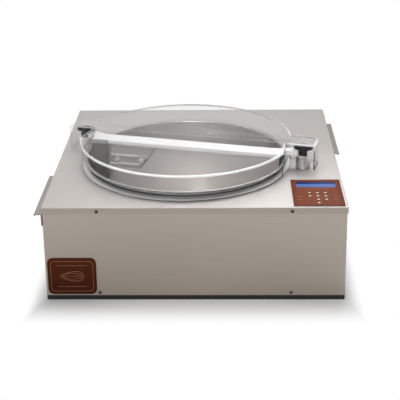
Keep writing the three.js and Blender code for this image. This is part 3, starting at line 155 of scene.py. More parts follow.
# Steels. A look gives the tones of the grain's valleys and crests, and how rough the steel is
grainLook = {"detail": 4.0, "cloud": 5.0, "share": 0.7, "depth": 0.0002}
deckLook = {"dark": (0.385, 0.365, 0.352), "light": (0.475, 0.452, 0.438), "rough": 0.60,
            "roughSpread": 0.10, "bump": 0.05, "stretch": (6, 900, 900),
            "lipsTo": 0.2022, "flatFrom": 0.2036}
faceLook = {"dark": (0.445, 0.39, 0.342), "light": (0.55, 0.488, 0.43), "rough": 0.42,
            "roughSpread": 0.10, "bump": 0.06, "stretch": (5, 5, 800)}
# painted light: the collar is kept paler and bluer than the deck sheet it is drawn from
collarLitLook = {"dark": (0.60, 0.60, 0.61), "light": (0.70, 0.70, 0.71), "rough": 0.45,
              "roughSpread": 0.08, "bump": 0.03, "stretch": (400, 400, 400)}
# painted shade: the grips' steel is kept far darker than the case's
gripShadedLook = {"dark": (0.23, 0.215, 0.20), "light": (0.30, 0.285, 0.27), "rough": 0.45,
            "roughSpread": 0.08, "bump": 0.05, "stretch": (900, 6, 900)}
# painted light: the divider's steel is kept much paler than the bowl's, to look lit
dividerLitLook = {"dark": (0.76, 0.735, 0.72), "light": (0.86, 0.835, 0.82), "rough": 0.50,
               "roughSpread": 0.05, "bump": 0.05, "stretch": (8, 8, 500)}
bowlLook = {"dark": (0.52, 0.499, 0.480), "light": (0.62, 0.599, 0.580), "rough": 0.15,
            "roughSpread": 0.05, "bump": 0.05, "ringScale": 420.0, "slope": 0.9,
            "ringDetail": 3.0, "cloud": 4.0, "ringShare": 0.6, "depth": 0.0002,
            "rimFrom": 0.2188, "rimTo": 0.2196, "rimShadeTone": (0.31, 0.30, 0.29), "rimRough": 0.22}


def steelGrain(f, look):
    # the drawn lines alone, and the lines with clouds
    g = grainLook
    grain = f.noise(1.0, look["stretch"], g["detail"])
    cloud = f.noise(g["cloud"], detail=2.0)
    return grain, grain * g["share"] + cloud * (1 - g["share"])


def steelClose(f, tone, grain, look):
    rough = look["rough"] + (grain - 0.5) * look["roughSpread"]
    return f.close({"Base Color": tone, "Metallic": 1.0, "Roughness": rough,
                    "Normal": f.bump(grain, look["bump"], grainLook["depth"])})


def brushedSteel(name, look):
    f = Finish(name)
    grain, shade = steelGrain(f, look)
    return steelClose(f, f.mix(shade, look["dark"], look["light"]), grain, look)


def deckFinish(look, lips):
    # warmer on the folded lips: a painted reflection of the table that they mirror
    f = Finish("deckSteel")
    z = f.axes()[2]
    grain, shade = steelGrain(f, look)
    folded = f.mix(shade, lips["dark"], lips["light"])
    flat = f.mix(shade, look["dark"], look["light"])
    tone = f.mix(f.smooth(z, look["lipsTo"], look["flatFrom"]), folded, flat)
    return steelClose(f, tone, grain, look)


def spunSteel(name, look):
    # rings about the bowl's axis, and painted shade on the rim, which is darker and rougher
    f = Finish(name)
    x, y, z = f.axes((*layout["bowlAxis"], 0))
    radius = (x * x + y * y).power(0.5)
    along = radius + z * look["slope"]
    line = f.node("ShaderNodeCombineXYZ", {0: along * look["ringScale"], 1: 0.0, 2: 0.0})
    rings = f.noise(1.0, vector=line, detail=look["ringDetail"])
    cloud = f.noise(look["cloud"], detail=1.0)
    rim = f.smooth(z, look["rimFrom"], look["rimTo"])
    share = rings * look["ringShare"] + cloud * (1 - look["ringShare"])
    tone = f.mix(rim, f.mix(share, look["dark"], look["light"]), look["rimShadeTone"])
    rough = look["rough"] + (rings - 0.5) * look["roughSpread"] + rim * look["rimRough"]
    return f.close({"Base Color": tone, "Metallic": 1.0, "Roughness": rough,
                    "Normal": f.bump(rings, look["bump"], look["depth"])})


deckSteel = deckFinish(deckLook, faceLook)
frontSteel = brushedSteel("frontSteel", faceLook)
collarSteel = brushedSteel("collarSteel", collarLitLook)
gripSteel = brushedSteel("gripSteel", gripShadedLook)
dividerSteel = brushedSteel("dividerSteel", dividerLitLook)
bowlSteel = spunSteel("bowlSteel", bowlLook)


# Plain metals and moulded plastics: a tone that drifts a little, over a fine speckle
metalLook = {"cloud": 9.0, "detail": 3.0, "roughSpread": 0.15, "depth": 0.0003}
plasticLook = {"cloud": 6.0, "detail": 2.0, "roughSpread": 0.12, "depth": 0.0003}


def driftingTone(f, cloudScale, colour, vary):
    return f.mix(f.noise(cloudScale, detail=2.0), [c * (1 - vary) for c in colour],
                 [min(1.0, c * (1 + vary)) for c in colour])


def speckled(name, look, colour, rough, grain, bump, vary, extra):
    f = Finish(name)
    speck = f.noise(grain, detail=look["detail"])
    return f.close({"Base Color": driftingTone(f, look["cloud"], colour, vary),
                    "Roughness": rough + (speck - 0.5) * look["roughSpread"],
                    "Normal": f.bump(speck, bump, look["depth"]), **extra})


def plainMetal(name, colour, rough, grain, bump, vary=0.08):
    return speckled(name, metalLook, colour, rough, grain, bump, vary, {"Metallic": 1.0})


def mouldedPlastic(name, colour, rough, grain, bump, vary, coat=0.0):
    return speckled(name, plasticLook, colour, rough, grain, bump, vary, {"Coat Weight": coat})


zincSteel = plainMetal("zincSteel", (0.46, 0.47, 0.47), 0.42, 300.0, 0.05)
castAluminium = plainMetal("castAluminium", (0.55, 0.56, 0.56), 0.45, 180.0, 0.12)
turnedSteel = plainMetal("turnedSteel", (0.76, 0.75, 0.74), 0.34, 500.0, 0.05)
brightSteel = plainMetal("brightSteel", (0.72, 0.71, 0.70), 0.16, 400.0, 0.03)
darkScrew = plainMetal("darkScrew", (0.10, 0.09, 0.08), 0.38, 500.0, 0.08, 0.2)
whitePlastic = mouldedPlastic("whitePlastic", (0.88, 0.87, 0.88), 0.34, 700.0, 0.04, 0.02)
knobPlastic = mouldedPlastic("knobPlastic", (0.012, 0.012, 0.014), 0.26, 600.0, 0.06, 0.3, 0.3)
blackPlastic = mouldedPlastic("blackPlastic", (0.022, 0.022, 0.023), 0.42, 800.0, 0.08, 0.2)
boltNylon = mouldedPlastic("boltNylon", (0.52, 0.51, 0.50), 0.35, 500.0, 0.04, 0.05)
footRubber = mouldedPlastic("footRubber", (0.020, 0.020, 0.021), 0.78, 400.0, 0.2, 0.2)
nylonGear = mouldedPlastic("nylonGear", (0.72, 0.68, 0.57), 0.45, 500.0, 0.05, 0.05)
tanInk = mouldedPlastic("tanInk", (0.45, 0.23, 0.11), 0.40, 500.0, 0.02, 0.10)
boardGreen = mouldedPlastic("boardGreen", (0.015, 0.11, 0.05), 0.36, 300.0, 0.06, 0.2)


# Clear plastics
clearLook = {"face": 0.035, "edge": 0.55, "edgeBlend": 0.35, "edgePower": 4.0, "haze": 0.02,
             "cloud": 7.0, "faceTone": (0.55, 0.55, 0.55), "edgeTone": (0.62, 0.62, 0.62),
             "rough": 0.05, "roughSpread": 0.02, "index": 1.49}
edgeLook = {"bright": (0.96, 0.96, 0.97), "turned": (0.85, 0.85, 0.85), "edgeBlend": 0.4,
            "leftSide": (0.80, 0.80, 0.78), "dark": (0.09, 0.075, 0.07), "sideFade": 0.05,
            "lowLeft": 0.35, "lowRight": 0.70, "cover": 0.85, "lowEnd": 0.235,
            "highEnd": 0.2555, "thinFrom": -0.22, "thinTo": -0.08, "thinShare": 0.35,
            "jointFrom": 0.015, "jointTo": 0.030, "jointHalf": 0.221, "jointClear": 0.94,
            "earClear": 0.3, "streak": 60.0, "streakStretch": (1, 1, 0.2),
            "streakShare": 0.1, "rough": 0.16, "roughSpread": 0.06, "index": 1.49}
bracketLook = {"slantTop": (-0.064, 0.231), "slantAcross": (0.798, -0.602),
               "slantHalf": 0.0013, "slantTone": (0.07, 0.06, 0.055), "slantCover": 0.7,
               "rails": (0.1895, 0.2095), "railHalf": 0.0018, "railHighlightTone": (0.86, 0.85, 0.84),
               "dark": (0.50, 0.50, 0.48), "light": (0.62, 0.62, 0.60), "cloud": 7.0,
               "cover": 0.20, "railCover": 0.30, "haze": 0.06, "rough": 0.12,
               "roughSpread": 0.04, "index": 1.49}


def clearAcrylic(name, look):
    # nearly invisible face on, and a painted reflection where the wall turns away, greyer and
    # less clear
    f = Finish(name)
    edge = f.node("ShaderNodeLayerWeight", {"Blend": look["edgeBlend"]}, out="Facing")
    haze = f.noise(look["cloud"], detail=2.0)
    cover = look["face"] + edge.power(look["edgePower"]) * look["edge"] + haze * look["haze"]
    return f.close({"Base Color": f.mix(edge, look["faceTone"], look["edgeTone"]),
                    "Roughness": look["rough"] + haze * look["roughSpread"],
                    "Alpha": cover, "IOR": look["index"]})


def alongBaffle(x, y):
    return x * math.cos(layout["baffleTurn"]) + y * math.sin(layout["baffleTurn"])


def polishedEdge(name, look):
    # rounded and sawn edges of the clear covers: a painted highlight on top, painted dark
    # refraction down the right ear's sawn side and the rest of the right half, a paler painted
    # tone low on the left, and clear along the polished joint over the baffle
    f = Finish(name)
    x, y, z = f.axes((*layout["bowlAxis"], 0))
    along = alongBaffle(x, y)
    across = y * math.cos(layout["baffleTurn"]) - x * math.sin(layout["baffleTurn"])
    joint = across.above(look["jointFrom"]) * across.below(look["jointTo"]) * (
        along.size().below(look["jointHalf"]))
    leftEar = across.below(look["jointTo"]) * along.below(-look["jointHalf"])
    thin = 1 - f.smooth(along, look["thinFrom"], look["thinTo"])
    edge = f.node("ShaderNodeLayerWeight", {"Blend": look["edgeBlend"]}, out="Facing")
    high = f.smooth(z, look["lowEnd"], look["highEnd"])
    right = f.smooth(along, -look["sideFade"], look["sideFade"])
    streak = f.noise(look["streak"], look["streakStretch"], 2.0)
    # painted light: highlight on top, dark refraction low on the right, paler low on the left
    tone = f.mix(high, f.mix(right, look["leftSide"], look["dark"]),
                 f.mix(edge, look["bright"], look["turned"]))
    low = look["lowLeft"] + right * (look["lowRight"] - look["lowLeft"])
    cover = (low + high * (look["cover"] - low - thin * look["thinShare"])
             + (streak - 0.5) * look["streakShare"])
    cover = cover * (1 - joint * look["jointClear"]) * (1 - leftEar * look["earClear"])
    return f.close({"Base Color": tone, "Roughness": look["rough"] + streak * look["roughSpread"],
                    "Alpha": cover, "IOR": look["index"]})


def bracketFinish(look):
    # clear plastic with painted highlights on its guide rails, which are paler, and a dark
    # slanted line at its end
    f = Finish("bracketPlastic")
    x, y, z = f.axes((*layout["bowlAxis"], 0))
    away = ((alongBaffle(x, y) - look["slantTop"][0]) * look["slantAcross"][0]
            + (z - look["slantTop"][1]) * look["slantAcross"][1]).size()
    slant = 1 - f.smooth(away, look["slantHalf"], look["slantHalf"] * 2)
    low, high = [(z - rise).size().below(look["railHalf"]) for rise in look["rails"]]
    rails = low + high
    haze = f.noise(look["cloud"], detail=2.0)
    tone = f.mix(rails, f.mix(haze, look["dark"], look["light"]), look["railHighlightTone"])
    tone = f.mix(slant, tone, look["slantTone"])
    cover = look["cover"] + rails * look["railCover"] + haze * look["haze"]
    return f.close({"Base Color": tone, "Roughness": look["rough"] + haze * look["roughSpread"],
                    "Alpha": cover.maths("MAXIMUM", slant * look["slantCover"]),
                    "IOR": look["index"]})


clearPlastic = clearAcrylic("clearPlastic", clearLook)
clearEdge = polishedEdge("clearEdge", edgeLook)
bracketPlastic = bracketFinish(bracketLook)


# Scraper: dark olive plastic, paler in the band that stands above the beam
scraperLook = {"dark": (0.062, 0.056, 0.047), "light": (0.088, 0.080, 0.068), "cloud": 6.0,
               "band": (0.32, 0.31, 0.29), "bandFrom": 0.2355, "bandTo": 0.2375,
               "speck": 500.0, "rough": 0.46, "roughSpread": 0.12, "bump": 0.08,
               "depth": 0.0003, "specular": 0.3}


def scraperFinish(look):
    f = Finish("scraperPlastic")
    z = f.axes()[2]
    speck = f.noise(look["speck"], detail=2.0)
    tone = f.mix(f.noise(look["cloud"], detail=2.0), look["dark"], look["light"])
    tone = f.mix(f.smooth(z, look["bandFrom"], look["bandTo"]), tone, look["band"])
    return f.close({"Base Color": tone,
                    "Roughness": look["rough"] + (speck - 0.5) * look["roughSpread"],
                    "Specular IOR Level": look["specular"],
                    "Normal": f.bump(speck, look["bump"], look["depth"])})


scraperPlastic = scraperFinish(scraperLook)


# Brown films: the panel's overlay is darker at its borders, and the badge has painted light,
# paler at its top
filmLook = {"specular": 0.05, "bump": 0.05, "depth": 0.0002}
overlayLook = {"dark": (0.150, 0.030, 0.010), "light": (0.215, 0.050, 0.016), "cloud": 16.0,
               "border": (0.080, 0.018, 0.008), "sideFade": (0.036, 0.052), "sideShare": 0.55,
               "endFade": (0.056, 0.069), "endShare": 0.45, "rough": 0.38,
               "roughSpread": 0.08, "speck": 900.0}
badgeLook = {"dark": (0.052, 0.011, 0.005), "light": (0.085, 0.020, 0.008), "cloud": 14.0,
             "top": (0.120, 0.028, 0.010), "fade": 0.045, "topLightShare": 0.5, "rough": 0.36,
             "roughSpread": 0.1, "speck": 700.0}


def brownFilm(f, cloud, share, second, look):
    tone = f.mix(share, f.mix(cloud, look["dark"], look["light"]), second)
    return f.close({"Base Color": tone, "Roughness": look["rough"] + cloud * look["roughSpread"],
                    "Specular IOR Level": filmLook["specular"],
                    "Normal": f.bump(f.noise(look["speck"]), filmLook["bump"],
                                     filmLook["depth"])})


def overlayFilm(look):
    f = Finish("overlayFilm")
    x, y, _ = f.axes((*layout["overlayMiddle"], 0))
    edge = (f.smooth(x.size(), *look["sideFade"]) * look["sideShare"]
            + f.smooth(y.size(), *look["endFade"]) * look["endShare"])
    return brownFilm(f, f.noise(look["cloud"]), edge, look["border"], look)


def badgeEnamel(look):
    f = Finish("badgeEnamel")
    z = f.axes(layout["badgeMiddle"])[2]
    # painted light: paler towards the top
    fade = f.smooth(z, -look["fade"], look["fade"]) * look["topLightShare"]
    return brownFilm(f, f.noise(look["cloud"]), fade, look["top"], look)


# Display: lit blue, with a grid of blank cells and a painted shadow, a dark strip along its rear
# edge under the window's rim
displayLook = {"middle": (0.2485, -0.1885, 0), "cell": (0.0045, 0.0105), "cellEdge": 0.25,
               "cellShare": 0.5, "cellTone": (0.18, 0.29, 0.62), "dark": (0.045, 0.105, 0.32),
               "light": (0.070, 0.14, 0.39), "cloud": 30.0, "stripFade": (0.0012, 0.0048),
               "strip": (0.006, 0.012, 0.075), "glass": (0.01, 0.02, 0.06), "rough": 0.12,
               "roughSpread": 0.02, "roughScale": 40.0, "specular": 0.05, "glow": 0.9}


def litDisplay(look):
    f = Finish("litDisplay")
    x, y, _ = f.axes(look["middle"])
    lines = [f.smooth((way * (2 * math.pi / cell)).wave().size(), 0.0, look["cellEdge"])
             for way, cell in zip((x, y), look["cell"])]
    blue = f.mix(f.noise(look["cloud"]), look["dark"], look["light"])
    lit = f.mix(lines[0] * lines[1] * look["cellShare"], blue, look["cellTone"])
    # painted shadow of the window's rim along the rear edge
    tone = f.mix(f.smooth(y, *look["stripFade"]), lit, look["strip"])
    rough = look["rough"] + f.noise(look["roughScale"]) * look["roughSpread"]
    return f.close({"Base Color": (*look["glass"], 1), "Roughness": rough,
                    "Specular IOR Level": look["specular"], "Emission Color": tone,
                    "Emission Strength": look["glow"]})


overlayBrown = overlayFilm(overlayLook)
badgeBrown = badgeEnamel(badgeLook)
displayBlue = litDisplay(displayLook)
print("materials ready")


# Mesh helpers. Limits say how near two places lie when they count as the same
limits = {"weld": 0.000005, "same": 0.00001, "ring": 0.0002}


def closeMesh(bm, name, body, material, angle, recalc=True):
    bmesh.ops.remove_doubles(bm, verts=bm.verts, dist=limits["same"])
    if recalc:
        bmesh.ops.recalc_face_normals(bm, faces=bm.faces)
    mesh = bpy.data.meshes.new(name)
    bm.to_mesh(mesh)
    bm.free()
    mesh.polygons.foreach_set("use_smooth", [True] * len(mesh.polygons))
    mesh.set_sharp_from_angle(angle=math.radians(angle))
    mesh.materials.append(material)
    piece = bpy.data.objects.new(name, mesh)
    bpy.context.scene.collection.objects.link(piece)
    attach(piece, body)
    return piece


def moveAll(bm, matrix):
    bmesh.ops.transform(bm, matrix=matrix, verts=bm.verts)


def toBowl(height=0.0):
    return Matrix.Translation((*layout["bowlAxis"], height))


def toBaffle(height=0.0):
    return toBowl(height) @ Matrix.Rotation(layout["baffleTurn"], 4, "Z")


def spun(profile, steps):
    # turns a profile of (radius, height) pairs about Z
    bm = bmesh.new()
    verts = [bm.verts.new((radius, 0, height)) for radius, height in profile]
    edges = [bm.edges.new(pair) for pair in zip(verts, verts[1:])]
    bmesh.ops.spin(bm, geom=verts + edges, cent=(0, 0, 0), axis=(0, 0, 1), dvec=(0, 0, 0),
                   angle=2 * math.pi, steps=steps, use_merge=True, use_duplicate=False)
    bmesh.ops.remove_doubles(bm, verts=bm.verts, dist=limits["weld"])
    return bm


def ringEdges(bm, radius, height):
    def onRing(v):
        return (abs(math.hypot(v.co.x, v.co.y) - radius) < limits["ring"]
                and abs(v.co.z - height) < limits["ring"])
    return [e for e in bm.edges if all(onRing(v) for v in e.verts)]


def levelEdges(bm, height):
    return [e for e in bm.edges
            if all(abs(v.co.z - height) < limits["same"] for v in e.verts)]


def roundEdges(bm, edges, offset, segments):
    made = bmesh.ops.bevel(bm, geom=edges, offset=offset, offset_type="OFFSET",
                           segments=segments, profile=0.5, affect="EDGES", material=-1,
                           clamp_overlap=True)
    return made["faces"]


def drum(radius, low, high, upper, lower, steps):
    # a round bar; upper and lower give the size and the segments of its rounded edges
    bm = spun([(0, low), (radius, low), (radius, high), (0, high)], steps)
    roundEdges(bm, ringEdges(bm, radius, high), *upper)
    roundEdges(bm, ringEdges(bm, radius, low), *lower)
    return bm


def barSolid(size, height, edge, segments):
    bm = bmesh.new()
    bmesh.ops.create_cube(bm, size=1.0)
    bmesh.ops.scale(bm, vec=size, verts=bm.verts)
    roundEdges(bm, list(bm.edges), edge, segments)
    bmesh.ops.translate(bm, vec=(0, 0, height), verts=bm.verts)
    return bm


def absorb(bm, other):
    # adds a second bmesh's geometry to the first
    mesh = bpy.data.meshes.new("spare")
    other.to_mesh(mesh)
    other.free()
    bm.from_mesh(mesh)
    bpy.data.meshes.remove(mesh)


def outlineFace(points, radii, segments=10):
    # one face with some corners rounded; points run anticlockwise
    bm = bmesh.new()
    verts = [bm.verts.new((x, y, 0)) for x, y in points]
    bm.faces.new(verts)
    for vert, radius in zip(verts, radii):
        if radius:
            bmesh.ops.bevel(bm, geom=[vert], offset=radius, offset_type="OFFSET",
                            segments=segments, profile=0.5, affect="VERTICES", material=-1)
    return bm


def raiseFace(bm, height):
    made = bmesh.ops.extrude_face_region(bm, geom=list(bm.faces))
    top = [v for v in made["geom"] if isinstance(v, bmesh.types.BMVert)]
    bmesh.ops.translate(bm, vec=(0, 0, height), verts=top)
    return bm


def plateFace(width, depth, corner):
    w, d = width / 2, depth / 2
    return outlineFace([(-w, -d), (w, -d), (w, d), (-w, d)], [corner] * 4)


def outlineRing(width, depth, corner, line, thickness):
    # a rounded rectangle's border, as wide as line
    bm = plateFace(width, depth, corner)
    inner = list(bm.faces)
    bmesh.ops.inset_region(bm, faces=inner, thickness=line, use_boundary=True,
                           use_even_offset=True)
    bmesh.ops.delete(bm, geom=inner, context="FACES")
    return raiseFace(bm, thickness)


def strokeAlong(points, line, thickness):
    # a thin flat line through the points, lying on z = 0
    bm = bmesh.new()
    verts = [bm.verts.new((x, y, 0)) for x, y in points]
    edges = [bm.edges.new(pair) for pair in zip(verts, verts[1:])]
    made = bmesh.ops.extrude_edge_only(bm, edges=edges)
    moved = [v for v in made["geom"] if isinstance(v, bmesh.types.BMVert)]
    for i, (low, high) in enumerate(zip(verts, moved)):
        before = verts[max(0, i - 1)].co
        after = verts[min(len(verts) - 1, i + 1)].co
        run = (after - before).normalized()
        high.co = low.co + Vector((-run.y, run.x, 0)) * line
    return raiseFace(bm, thickness)


def solidify(piece, thickness):
    # the wall grows away from the side that the faces look to
    wall = piece.modifiers.new("wall", "SOLIDIFY")
    wall.thickness = thickness
    wall.offset = -1.0
    wall.use_even_offset = True
    return wall


# Bowl
bowlSettings = {
    "floorHeight": 0.1095, "floorRadius": 0.203, "mouthRadius": 0.2142, "mouthHeight": 0.2192,
    "beadRadius": 0.2172, "rimTop": 0.222, "rimRadius": 0.224, "beadDrop": 0.0026,
    "beadLip": 0.0004, "corner": (0.026, 8), "beadEdge": (0.0018, 4), "rimEdge": (0.0012, 4),
    "wall": 0.0015, "steps": 160,
}


def makeBowl(s):
    low = s["rimTop"] - s["beadDrop"]
    bm = spun([(0, s["floorHeight"]), (s["floorRadius"], s["floorHeight"]),
               (s["mouthRadius"], s["mouthHeight"]), (s["beadRadius"], s["rimTop"]),
               (s["rimRadius"], s["rimTop"]), (s["rimRadius"], low),
               (s["beadRadius"] + s["beadLip"], low)], s["steps"])
    for radius, height, edge in ((s["floorRadius"], s["floorHeight"], s["corner"]),
                                 (s["mouthRadius"], s["mouthHeight"], s["beadEdge"]),
                                 (s["beadRadius"], s["rimTop"], s["beadEdge"]),
                                 (s["rimRadius"], s["rimTop"], s["rimEdge"]),
                                 (s["rimRadius"], low, s["rimEdge"])):
        roundEdges(bm, ringEdges(bm, radius, height), *edge)
    moveAll(bm, toBowl())
    piece = closeMesh(bm, "bowlShell", "bowl_drive", bowlSteel, 40.0)
    solidify(piece, s["wall"])
    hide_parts("bowl")


makeBowl(bowlSettings)
print("bowl made")


# Clear covers. Both halves are drawn from the bowl's axis, with the baffle along X
coverSettings = {
    "radius": 0.231, "wall": 0.003, "bottom": 0.2043, "top": 0.259, "edge": (0.0042, 5),
    "sideAngle": math.radians(11.0), "end": 0.022, "endHalf": 0.2165, "endPlane": 0.032,
    "rearStart": 0.025, "earFront": 0.008, "earBack": 0.067, "earRight": 0.284,
    "earLeft": 0.276, "earHighlightBand": 0.0045, "earInner": 0.222, "earCorner": 0.018, "steps": 192,
    "notchFront": 0.004, "notchTop": 0.2466, "reliefFront": -0.0471, "reliefTop": 0.225,
    "facing": 0.9, "slack": 0.0001,
}


def cutPlane(bm, place, normal, clear):
    bmesh.ops.bisect_plane(bm, geom=bm.verts[:] + bm.edges[:] + bm.faces[:],
                           dist=limits["weld"], plane_co=place, plane_no=normal,
                           clear_outer=clear)


def roundTop(bm, edges, edge):
    # the rounded faces take the second material
    for face in roundEdges(bm, edges, *edge):
        face.material_index = 1
    bmesh.ops.recalc_face_normals(bm, faces=bm.faces)


def dropFaces(bm, test):
    # test is given each face's normal and middle
    gone = [f for f in bm.faces if test(f.normal, f.calc_center_median())]
    bmesh.ops.delete(bm, geom=gone, context="FACES")


def finishCover(bm, name, body, node, s):
    moveAll(bm, toBaffle(s["bottom"]))
    piece = closeMesh(bm, name, body, clearPlastic, 30.0, recalc=False)
    piece.data.materials.append(clearEdge)
    solidify(piece, s["wall"]).material_offset_rim = 1
    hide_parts(node)


def makeFrontCover(s):
    # the round half, trimmed at both sides and open towards the baffle
    bm = bmesh.new()
    bmesh.ops.create_circle(bm, cap_ends=True, radius=s["radius"], segments=s["steps"])
    cutPlane(bm, (0, s["end"], 0), (0, 1, 0), True)
    startX = s["radius"] * math.cos(s["sideAngle"])
    startY = -s["radius"] * math.sin(s["sideAngle"])
    lean = Vector((s["endPlane"] - startY, startX - s["endHalf"], 0)).normalized()
    cutPlane(bm, (startX, startY, 0), lean, True)
    cutPlane(bm, (-startX, startY, 0), (-lean.x, lean.y, 0), True)
    height = s["top"] - s["bottom"]
    raiseFace(bm, height)

    def onSplit(e):
        return all(abs(v.co.y - s["end"]) < limits["same"] for v in e.verts)
    roundTop(bm, [e for e in levelEdges(bm, height) if not onSplit(e)], s["edge"])
    dropFaces(bm, lambda normal, middle: normal.z < -s["facing"])
    dropFaces(bm, lambda normal, middle: normal.y > s["facing"]
              and middle.y > s["end"] - s["slack"])
    for depth in (s["notchFront"], s["reliefFront"]):
        cutPlane(bm, (0, depth, 0), (0, 1, 0), False)
    for rise in (s["notchTop"], s["reliefTop"]):
        cutPlane(bm, (0, 0, rise - s["bottom"]), (0, 0, 1), False)
    dropFaces(bm, lambda normal, middle: middle.y > s["notchFront"]
              and middle.z < s["notchTop"] - s["bottom"])
    dropFaces(bm, lambda normal, middle: middle.y > s["reliefFront"]
              and middle.z < s["reliefTop"] - s["bottom"])
    finishCover(bm, "frontCoverShell", "front_lid", "front_cover", s)


def makeRearCover(s):
    # the round half, with a straight-sided ear at either end that takes in the clamp post
    join = math.asin(s["earBack"] / s["radius"])
    turns = [join + (math.pi - 2 * join) * i / s["steps"] for i in range(s["steps"] + 1)]
    arc = [(s["radius"] * math.cos(t), s["radius"] * math.sin(t)) for t in turns]
    points = [(s["earInner"], s["rearStart"]), (s["earInner"], s["earFront"]),
              (s["earRight"], s["earFront"]), (s["earRight"], s["earBack"]), *arc,
              (-s["earLeft"], s["earBack"]), (-s["earLeft"], s["earFront"]),
              (-s["earInner"], s["earFront"]), (-s["earInner"], s["rearStart"])]
    radii = [0, 0, 0, s["earCorner"], *[0] * len(arc), s["earCorner"], 0, 0, 0]
    bm = outlineFace(points, radii)
    height = s["top"] - s["bottom"]
    raiseFace(bm, height)

    def onSplit(e):
        middle = (e.verts[0].co + e.verts[1].co) / 2
        front = any(abs(middle.y - y) < limits["same"] for y in (s["earFront"], s["rearStart"]))
        step = abs(abs(middle.x) - s["earInner"]) < limits["same"]
        return front or (step and middle.y < s["rearStart"])
    roundTop(bm, [e for e in levelEdges(bm, height) if not onSplit(e)], s["edge"])
    dropFaces(bm, lambda normal, middle: normal.z < -s["facing"])
    dropFaces(bm, lambda normal, middle: normal.y < -s["facing"]
              and middle.y < s["rearStart"] + s["slack"])
    dropFaces(bm, lambda normal, middle: abs(normal.x) > s["facing"]
              and middle.y < s["rearStart"] and abs(middle.x) < s["earInner"] + s["slack"])
    # painted highlight: the right ear's top turns white along its front edge
    band = s["earFront"] + s["earHighlightBand"]
    cutPlane(bm, (0, band, 0), (0, 1, 0), False)
    for face in bm.faces:
        middle = face.calc_center_median()
        if middle.x > 0 and middle.y < band and middle.z > height - s["slack"]:
            face.material_index = 1
    finishCover(bm, "rearCoverShell", "rear_lid", "rear_cover", s)


makeFrontCover(coverSettings)
makeRearCover(coverSettings)
print("covers made")


# Baffle beam, with a slotted tab at either end
beamSettings = {
    "radius": 0.213, "back": 0.018, "front": 0.020, "bottom": 0.2336, "thickness": 0.010,
    "edge": (0.0032, 4), "steps": 256, "postOffset": 0.020, "postRight": 0.256,
    "postLeft": 0.242, "tabThickness": 0.0094, "tabHalf": 0.013, "tabRoot": 0.190,
    "tabEdge": (0.0015, 3), "tabRound": 0.01248, "rootRound": 0.006, "slotHalf": 0.0096,
    "slotRound": 0.009312, "mouthRound": 0.001, "noseRise": 0.0045, "noseBack": 0.003,
    "cornerSteps": 8,
}


def makeBeam(s):
    bm = bmesh.new()
    bmesh.ops.create_circle(bm, cap_ends=True, radius=s["radius"], segments=s["steps"])
    cutPlane(bm, (0, s["back"], 0), (0, 1, 0), True)
    cutPlane(bm, (0, -s["front"], 0), (0, -1, 0), True)
    raiseFace(bm, s["thickness"])
    roundEdges(bm, levelEdges(bm, s["thickness"]) + levelEdges(bm, 0), *s["edge"])
    root, slot, half = s["tabRoot"], s["slotHalf"], s["tabHalf"]
    near, far = s["postOffset"] - half, s["postOffset"] + half
    radii = [0, s["mouthRound"], s["slotRound"], s["slotRound"], 0, 0, s["tabRound"],
             s["rootRound"], 0]
    for side, reach in ((1, s["postRight"]), (-1, s["postLeft"])):
        points = [(root, near), (reach - slot, near), (reach - slot, s["postOffset"] + slot),
                  (reach + slot, s["postOffset"] + slot), (reach + slot, near + s["noseRise"]),
                  (reach + half, s["postOffset"] - s["noseBack"]), (reach + half, far),
                  (reach - half, far), (root, s["back"])]
        tab = outlineFace(points, radii, s["cornerSteps"])
        raiseFace(tab, s["tabThickness"])
        roundEdges(tab, levelEdges(tab, s["tabThickness"]), *s["tabEdge"])
        if side < 0:
            moveAll(tab, Matrix.Scale(-1, 4, (1, 0, 0)))
            bmesh.ops.reverse_faces(tab, faces=tab.faces)
        absorb(bm, tab)
    moveAll(bm, toBaffle(s["bottom"]))
    piece = closeMesh(bm, "beamBar", "case", whitePlastic, 40.0)
    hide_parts("baffle_beam")


# Clamp knobs and posts. The cap's heights count from the knob's top
knobSettings = {
    "bottom": 0.2439, "height": 0.011, "hub": 0.0115, "hubEdges": ((0.0022, 4), (0.0008, 2)),
    "hubSteps": 48, "lobeRadius": 0.0072, "lobeOffset": 0.0138, "lobeRise": 0.0018,
    "lobeEdges": ((0.0026, 5), (0.0020, 4)), "lobeSteps": 40,
    "wing": (0.0276, 0.01024, 0.00616), "wingRise": 0.00682, "wingEdge": (0.0016, 3),
    "cap": [(0, -0.0002), (0.00598, -0.0002), (0.00575, 0.0005), (0, 0.0007)],
    "capSteps": 32,
    "stud": [(0, 0.2173), (0.004, 0.2173), (0.004, 0.2337), (0.0084, 0.2337),
             (0.009, 0.2343), (0.009, 0.2449), (0, 0.2449)],
    "studSteps": 40,
}
postSettings = {
    "profile": [(0, 0.2043), (0.0154, 0.2043), (0.016, 0.2049), (0.016, 0.2258),
                (0.0154, 0.2263), (0.0154, 0.2271), (0.016, 0.2276), (0.016, 0.2320),
                (0.0147, 0.2333), (0.0046, 0.2333), (0.0046, 0.2213), (0, 0.2213)],
    "steps": 72,
}


def toPost(reach):
    return toBaffle() @ Matrix.Translation((reach, beamSettings["postOffset"], 0))


